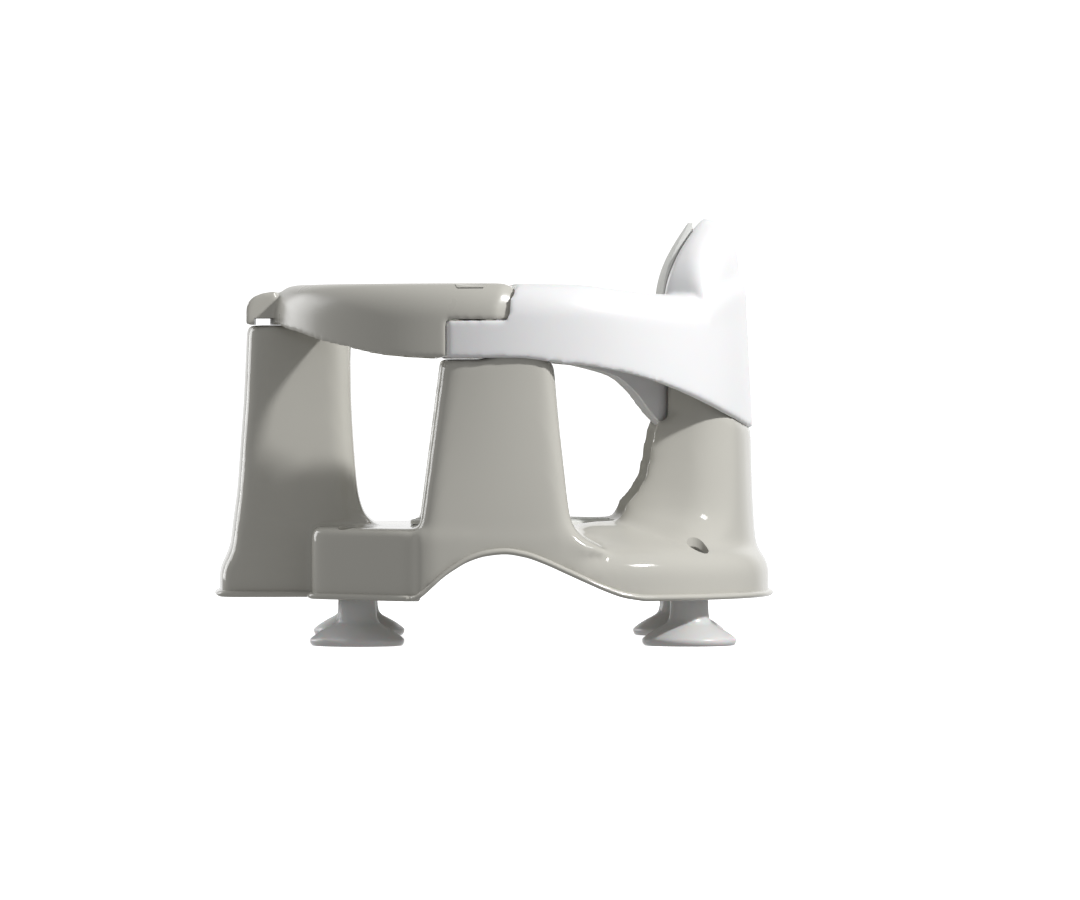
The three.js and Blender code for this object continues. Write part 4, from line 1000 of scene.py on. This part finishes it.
def seat_base():
    """The melted moulding with its beads, less its hollow, which goes round the four cup wells."""
    piece = base_form(0.0, BASE_ROUNDS)
    beads = bead(lambda inset: plinth_outline(inset, inset), arch_z)
    add(
        beads,
        bead(tray_outline, lambda x: 0.0),
        bead(lambda inset: crotch_outline(*crotch_at(CROTCH_SHARES[0][0]), inset), lambda x: 0.0),
    )
    add(piece, beads)
    hollow = lighten(base_form(BASE_WALL, HOLLOW_ROUNDS), HOLLOW_SHARE)
    web_top = WEB_Z + WEB_THICK
    stem, neck = CUP_STEM + CUP_GAP, CUP_NECK + CUP_GAP
    bore = [
        (0.0, -BORE_OVERRUN), (stem, -BORE_OVERRUN), (stem, WEB_Z), (neck, WEB_Z),
        (neck, web_top + BORE_OVERRUN), (0.0, web_top + BORE_OVERRUN),
    ]
    wells, bores, vents = [], [], []
    for x, y, end in CUP_PLACES.values():
        vent = (x + end * VENT_SHIFT[0], y + math.copysign(VENT_SHIFT[1], y))
        wells.append(cylinder(WELL_OUTER, WELL_FLOOR, web_top, x, y, WELL_STEPS))
        bores.append(lathe("bore", bore, x, y, WELL_STEPS))
        vents.append(cylinder(VENT_RADIUS, web_top, CUT_REACH, *vent, WELL_STEPS))
    cut(hollow, join(*wells))
    add(hollow, join(*bores), join(*vents))
    return cut(piece, hollow)


# Small pieces
def rename(piece, name):
    piece.name = name
    piece.data.name = name
    return piece


def suction_cup(name, x, y):
    """A cup with its stem, the neck that snaps through the base's web, and the head above it."""
    neck_low, neck_high = WEB_Z - CUP_GAP, WEB_Z + WEB_THICK + CUP_GAP
    neck = [
        (CUP_STEM, neck_low - CUP_SHOULDER), (CUP_STEM - CUP_SHOULDER, neck_low),
        (CUP_NECK, neck_low), (CUP_NECK, neck_high),
    ]
    head = [(radius, neck_high + up) for radius, up in CUP_HEAD]
    return lathe(name, CUP_FOOT + CUP_FLARE + neck + head, x, y)


def dished_cap(name, low, side):
    """Round cap or button top, level with the gate round it and hollowed by the same finger dish."""
    piece = cylinder(CAP_RADIUS, low, RING_TOP, PIVOT_X, side * PIVOT_Y, CAP_STEPS)
    keep(piece, ring_loft(sweep(*GATE_SPAN, RING_STEP)))
    cut(piece, dish(side))
    return rename(piece, name)


def seat_mat():
    """A round mat with a rolled edge and low rings on its top."""
    low = DECK_Z + MAT_GAP
    top = low + MAT_THICK
    outline = [(0.0, low), (MAT_RADIUS, low), (MAT_RADIUS, top - MAT_EDGE)]
    for i in range(1, MAT_EDGE_STEPS + 1):
        turn = math.radians(90 * i / MAT_EDGE_STEPS)
        edge = MAT_RADIUS - MAT_EDGE * (1 - math.cos(turn))
        outline.append((edge, top - MAT_EDGE * (1 - math.sin(turn))))
    crest = top + RIB_HEIGHT
    radius = MAT_RADIUS - MAT_MARGIN
    while radius > RIB_LEAST_RADIUS:
        outline += [(radius + RIB_FOOT, top), (radius + RIB_CREST, crest)]
        outline += [(radius - RIB_CREST, crest), (radius - RIB_FOOT, top)]
        radius -= RIB_PITCH
    outline.append((0.0, top))
    return lathe("soft_seat_mat", outline, RING_X, 0.0, MAT_TURNS)


def headrest_pad():
    """A pad on the child's side of the headrest, thinner at its ends, rounded and a little crowned."""
    back = RING_RADIUS - RING_WIDTH - PAD_GAP
    turns = [math.radians(90 * k / PAD_ROUND_STEPS) for k in range(PAD_ROUND_STEPS + 1)]
    rings = []
    for i in range(PAD_STEPS + 1):
        angle = -PAD_HALF * math.cos(math.pi * i / PAD_STEPS)
        along = min(1.0, abs(angle) / PAD_HALF)
        top = PAD_SHOULDER + PAD_RISE * (1 - along**PAD_POWER) ** PAD_ROOT
        front = back - PAD_THICK * (1 - PAD_THINNING * along**PAD_THINNING_POWER)
        section = [(back, PAD_LOW), (back, top)]
        for turn in turns:
            round_in = front + PAD_ROUND - PAD_ROUND * math.sin(turn)
            section.append((round_in, top - PAD_ROUND + PAD_ROUND * math.cos(turn)))
        for share in PAD_CROWN_SHARES:
            crown = PAD_CROWN * math.sin(math.pi * share)
            section.append((front - crown, mix(PAD_LOW, top, share)))
        for turn in turns:
            round_in = front + PAD_ROUND - PAD_ROUND * math.cos(turn)
            section.append((round_in, PAD_LOW + PAD_ROUND - PAD_ROUND * math.sin(turn)))
        rings.append([polar(r, angle, z) for r, z in section])
    return loft("soft_headrest_pad", rings)


# Materials: widths in millimetres
CLOUD_WIDTH = 60.0
WEAR_WIDTH = 25.0
WEAR_RANGE = (0.85, 1.2)
GRAIN_DEPTH = 0.1
LATHE_LINE = 1.2
LATHE_GLOSS = (0.22, 0.4)
POLYPROPYLENE_IOR = 1.49


def linear(value):
    """Linear colour of an sRGB hex value."""
    parts = [(value >> shift & 255) / 255 for shift in (16, 8, 0)]
    return (*[p / 12.92 if p <= 0.04045 else ((p + 0.055) / 1.055) ** 2.4 for p in parts], 1.0)


def node(tree, kind, settings=None, links=None):
    """Adds a node with its settings: keys that name a socket set it, the others are properties."""
    made = tree.nodes.new(kind)
    for key, value in (settings or {}).items():
        if key in made.inputs:
            made.inputs[key].default_value = value
        else:
            setattr(made, key, value)
    for key, source in (links or {}).items():
        tree.links.new(source, made.inputs[key])
    return made


def moulded(name, light, dark, roughness, grain_mm, bump, sockets):
    """A moulded plastic or rubber: faint cloudy colour, fine surface grain and uneven gloss."""
    material = bpy.data.materials.new(name)
    material.use_nodes = True
    tree = material.node_tree
    shader = tree.nodes["Principled BSDF"]
    place = node(tree, "ShaderNodeTexCoord").outputs["Object"]
    cloud = node(
        tree, "ShaderNodeTexNoise", {"Scale": 1 / (CLOUD_WIDTH * MM), "Detail": 3.0}, {"Vector": place},
    )
    tint = node(tree, "ShaderNodeMix", {"data_type": "RGBA"}, {"Factor": cloud.outputs["Fac"]})
    # Inputs 6 and 7 and output 2 are the colours of this node
    tint.inputs[6].default_value = linear(dark)
    tint.inputs[7].default_value = linear(light)
    tree.links.new(tint.outputs[2], shader.inputs["Base Color"])
    wear = node(
        tree, "ShaderNodeTexNoise", {"Scale": 1 / (WEAR_WIDTH * MM), "Detail": 4.0}, {"Vector": place},
    )
    least, most = [roughness * share for share in WEAR_RANGE]
    gloss = node(
        tree, "ShaderNodeMapRange", {"To Min": least, "To Max": most}, {"Value": wear.outputs["Fac"]},
    )
    tree.links.new(gloss.outputs["Result"], shader.inputs["Roughness"])
    grain = node(tree, "ShaderNodeTexNoise", {"Scale": 1 / (grain_mm * MM), "Detail": 2.0}, {"Vector": place})
    relief = node(
        tree, "ShaderNodeBump", {"Strength": bump, "Distance": GRAIN_DEPTH * MM},
        {"Height": grain.outputs["Fac"]},
    )
    tree.links.new(relief.outputs["Normal"], shader.inputs["Normal"])
    for key, value in sockets.items():
        shader.inputs[key].default_value = value
    return material


def polished_grey():
    """Polypropylene from a polished mould, in warm grey: highlights stay sharp on it."""
    return moulded(
        "polished_grey_polypropylene", 0xC5C3BB, 0xC2C0B8, 0.07, 1.2, 0.02, {"IOR": POLYPROPYLENE_IOR},
    )


def satin_grey():
    """The same grey polypropylene from a finely blasted mould: highlights are soft and wide."""
    return moulded(
        "satin_grey_polypropylene", 0xC5C3BB, 0xC2C0B8, 0.28, 0.7, 0.06, {"IOR": POLYPROPYLENE_IOR},
    )


def satin_white():
    """White polypropylene from a finely blasted mould: a little light passes into its wall."""
    return moulded(
        "satin_white_polypropylene", 0xF1F1F2, 0xEEEEEF, 0.3, 0.7, 0.06,
        {"IOR": POLYPROPYLENE_IOR, "Subsurface Weight": 0.08, "Subsurface Scale": 2 * MM},
    )


def soft_grey():
    """Thermoplastic rubber in pale grey, from a spark-eroded mould: matt, with a fine grain."""
    return moulded("moulded_grey_soft_rubber", 0xE2E3E0, 0xDEDFDB, 0.55, 0.6, 0.2, {"IOR": 1.5})


def cup_vinyl():
    """Soft vinyl, milky and a little translucent, with a smooth satin skin."""
    return moulded(
        "moulded_milky_vinyl", 0xDCDCDB, 0xD4D4D3, 0.3, 1.5, 0.05,
        {"IOR": 1.52, "Subsurface Weight": 0.25, "Subsurface Scale": 4 * MM},
    )


def acetal():
    """Acetal bearing plastic: dense, slightly waxy white."""
    return moulded("moulded_acetal", 0xECE9DF, 0xE6E3D9, 0.35, 1.0, 0.05, {"IOR": 1.48})


def stainless_steel():
    """Turned stainless steel: grey metal with fine lathe lines across it."""
    material = bpy.data.materials.new("turned_stainless_steel")
    material.use_nodes = True
    tree = material.node_tree
    shader = tree.nodes["Principled BSDF"]
    shader.inputs["Metallic"].default_value = 1.0
    shader.inputs["Base Color"].default_value = linear(0xBFC0C2)
    place = node(tree, "ShaderNodeTexCoord").outputs["Object"]
    lines = node(
        tree, "ShaderNodeTexWave",
        {"bands_direction": "Z", "Scale": 1 / (LATHE_LINE * MM), "Distortion": 1.0}, {"Vector": place},
    )
    least, most = LATHE_GLOSS
    gloss = node(
        tree, "ShaderNodeMapRange", {"To Min": least, "To Max": most}, {"Value": lines.outputs["Fac"]},
    )
    tree.links.new(gloss.outputs["Result"], shader.inputs["Roughness"])
    return material


def dress(piece, material, body, replaced):
    piece.data.materials.clear()
    piece.data.materials.append(material)
    shade(piece)
    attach(piece, body)
    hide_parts(*replaced)
    return piece


GREY = polished_grey()
SATIN_GREY = satin_grey()
WHITE = satin_white()
SOFT = soft_grey()
VINYL = cup_vinyl()
ACETAL = acetal()
STEEL = stainless_steel()

dress(rename(seat_base(), "base_moulding"), GREY, "frame", ["seat_base"])
dress(rename(rear_ring(), "ring_moulding"), WHITE, "frame", ["rear_ring"])
dress(rename(gate_shell(), "gate_moulding"), SATIN_GREY, "gate", ["gate_shell"])
for place_name, (cup_x, cup_y, _) in CUP_PLACES.items():
    cup = suction_cup("cup_" + place_name, cup_x, cup_y)
    dress(cup, VINYL, "frame", ["suction_cup_" + place_name])
dress(dished_cap("hinge_cap", CAP_FOOT, -1), SATIN_GREY, "gate", ["pivot_cap"])
mat = dress(seat_mat(), SOFT, "frame", ["seat_mat"])
pad = dress(headrest_pad(), SOFT, "frame", ["headrest_pad"])
button_top = dished_cap("button_top", BUTTON_FOOT, 1)
button_stem = cylinder(
    BUTTON_STEM, TONGUE_TOP + BUTTON_STEM_GAP, BUTTON_FOOT + BUTTON_STEM_OVERLAP, PIVOT_X, PIVOT_Y,
)
add(button_top, button_stem)
dress(button_top, SATIN_GREY, "latch_button", ["release_button"])

# Small parts that keep their CAD mesh: these are plastic, all the others are steel
KEPT = {"gate_cover": SATIN_GREY, "pivot_bush": ACETAL, "pivot_washer": ACETAL, "latch_collar": ACETAL}
for name, cad_node in frame["nodes"].items():
    if cad_node.hide_render:
        continue
    cad_node.data.materials.clear()
    cad_node.data.materials.append(KEPT.get(name, STEEL))


# Studio, in metres and watts. The key light is a small hard lamp with a soft one round it
CENTRE = Vector((0.0, 0.0, 0.13))
ROOM_LOW = 0.32
ROOM_HIGH = 0.34
WALL_INNER = 26.0
WALL_OUTER = 42.0
FLOOR_HALF = 30
FLOOR_GLOW = 0.94
BACKDROP_RADIUS = 28
BACKDROP_GLOW = 1.0
KEY_DIRECTION = (1.0, -0.7, 0.92)
KEY_DISTANCE = 2.2
KEY_SIZE = (0.14, 0.12)
KEY_POWER = 37.0
KEY_SOFTBOX_SIZE = (0.5, 0.3)
KEY_SOFTBOX_POWER = 4.2
LEFT_DIRECTION = (-0.82, 0.57, 0.27)
LEFT_DISTANCE = 2.0
LEFT_SIZE = (1.15, 1.2)
LEFT_POWER = 16.0


def light_from(name, direction, distance, size, power):
    """An area light that faces the object and that the camera doesn't see."""
    place = Vector(direction).normalized() * distance + CENTRE
    lamp = bpy.data.lights.new(name, "AREA")
    lamp.shape = "RECTANGLE"
    lamp.size, lamp.size_y = size
    lamp.energy = power
    holder = bpy.data.objects.new(name, lamp)
    holder.location = place
    holder.rotation_euler = (CENTRE - place).to_track_quat("-Z", "Y").to_euler()
    holder.visible_camera = False
    bpy.context.scene.collection.objects.link(holder)


def white_stage(name, bm, glow):
    """A white backdrop that only shows in the picture and doesn't light the object."""
    piece = new_object(name, bm)
    material = bpy.data.materials.new("white_paper_" + name)
    material.use_nodes = True
    shader = material.node_tree.nodes["Principled BSDF"]
    shader.inputs["Base Color"].default_value = linear(0xF6F6F6)
    shader.inputs["Roughness"].default_value = 0.9
    shader.inputs["Specular IOR Level"].default_value = 0.0
    shader.inputs["Emission Color"].default_value = (1, 1, 1, 1)
    shader.inputs["Emission Strength"].default_value = glow
    piece.data.materials.append(material)
    piece.visible_diffuse = False
    piece.visible_glossy = False
    piece.visible_transmission = False
    piece.visible_shadow = False


def stage():
    bm = bmesh.new()
    bmesh.ops.create_grid(bm, x_segments=1, y_segments=1, size=FLOOR_HALF)
    white_stage("floor", bm, FLOOR_GLOW)
    bm = bmesh.new()
    bmesh.ops.create_icosphere(bm, subdivisions=4, radius=BACKDROP_RADIUS)
    white_stage("backdrop", bm, BACKDROP_GLOW)


def world():
    """A dim even room, lighter overhead, with a white wall behind the object."""
    room = bpy.data.worlds.new("room")
    bpy.context.scene.world = room
    room.use_nodes = True
    tree = room.node_tree
    back = tree.nodes["Background"]
    back.inputs["Color"].default_value = (1, 1, 1, 1)
    place = node(tree, "ShaderNodeTexCoord").outputs["Generated"]
    axes = node(tree, "ShaderNodeSeparateXYZ", {}, {"Vector": place}).outputs
    height = node(
        tree, "ShaderNodeMapRange", {"From Min": -1.0, "To Min": ROOM_LOW, "To Max": ROOM_HIGH},
        {"Value": axes["Z"]},
    )
    wall = node(
        tree, "ShaderNodeMapRange",
        {"From Min": math.cos(math.radians(WALL_OUTER)), "From Max": math.cos(math.radians(WALL_INNER))},
        {"Value": axes["Y"]},
    )
    # Inputs 0, 2 and 3 are the share and the two numbers of this node
    level = node(tree, "ShaderNodeMix", {}, {0: wall.outputs["Result"], 2: height.outputs["Result"]})
    level.inputs[3].default_value = 1.0
    tree.links.new(level.outputs[0], back.inputs["Strength"])


# The photograph's view: pixels of its 1080 x 900 frame, and the lens that gives its scale
FOCAL_PIXELS = 7486.0
FRAME_WIDTH = 1080.0
FRAME_HEIGHT = 900.0
SIGHT_PIXEL = (408.0, 375.0)
CAMERA_PLACE = (-55.7, -4850.0, 171.7)
SENSOR = 36.0


def camera():
    lens = bpy.data.cameras.new("camera")
    lens.sensor_width = SENSOR
    lens.lens = FOCAL_PIXELS * SENSOR / FRAME_WIDTH
    lens.clip_end = 100
    holder = bpy.data.objects.new("camera", lens)
    holder.location = Vector(CAMERA_PLACE) * MM
    yaw = math.atan((FRAME_WIDTH / 2 - SIGHT_PIXEL[0]) / FOCAL_PIXELS)
    pitch = math.atan((FRAME_HEIGHT / 2 - SIGHT_PIXEL[1]) / FOCAL_PIXELS)
    turn = Matrix.Rotation(-yaw, 4, "Z") @ Matrix.Rotation(math.radians(90) - pitch, 4, "X")
    holder.rotation_euler = turn.to_euler()
    bpy.context.scene.collection.objects.link(holder)
    bpy.context.scene.camera = holder


stage()
world()
camera()
bpy.context.scene.view_settings.view_transform = "Standard"
light_from("key", KEY_DIRECTION, KEY_DISTANCE, KEY_SIZE, KEY_POWER)
light_from("key_softbox", KEY_DIRECTION, KEY_DISTANCE, KEY_SOFTBOX_SIZE, KEY_SOFTBOX_POWER)
light_from("left_softbox", LEFT_DIRECTION, LEFT_DISTANCE, LEFT_SIZE, LEFT_POWER)
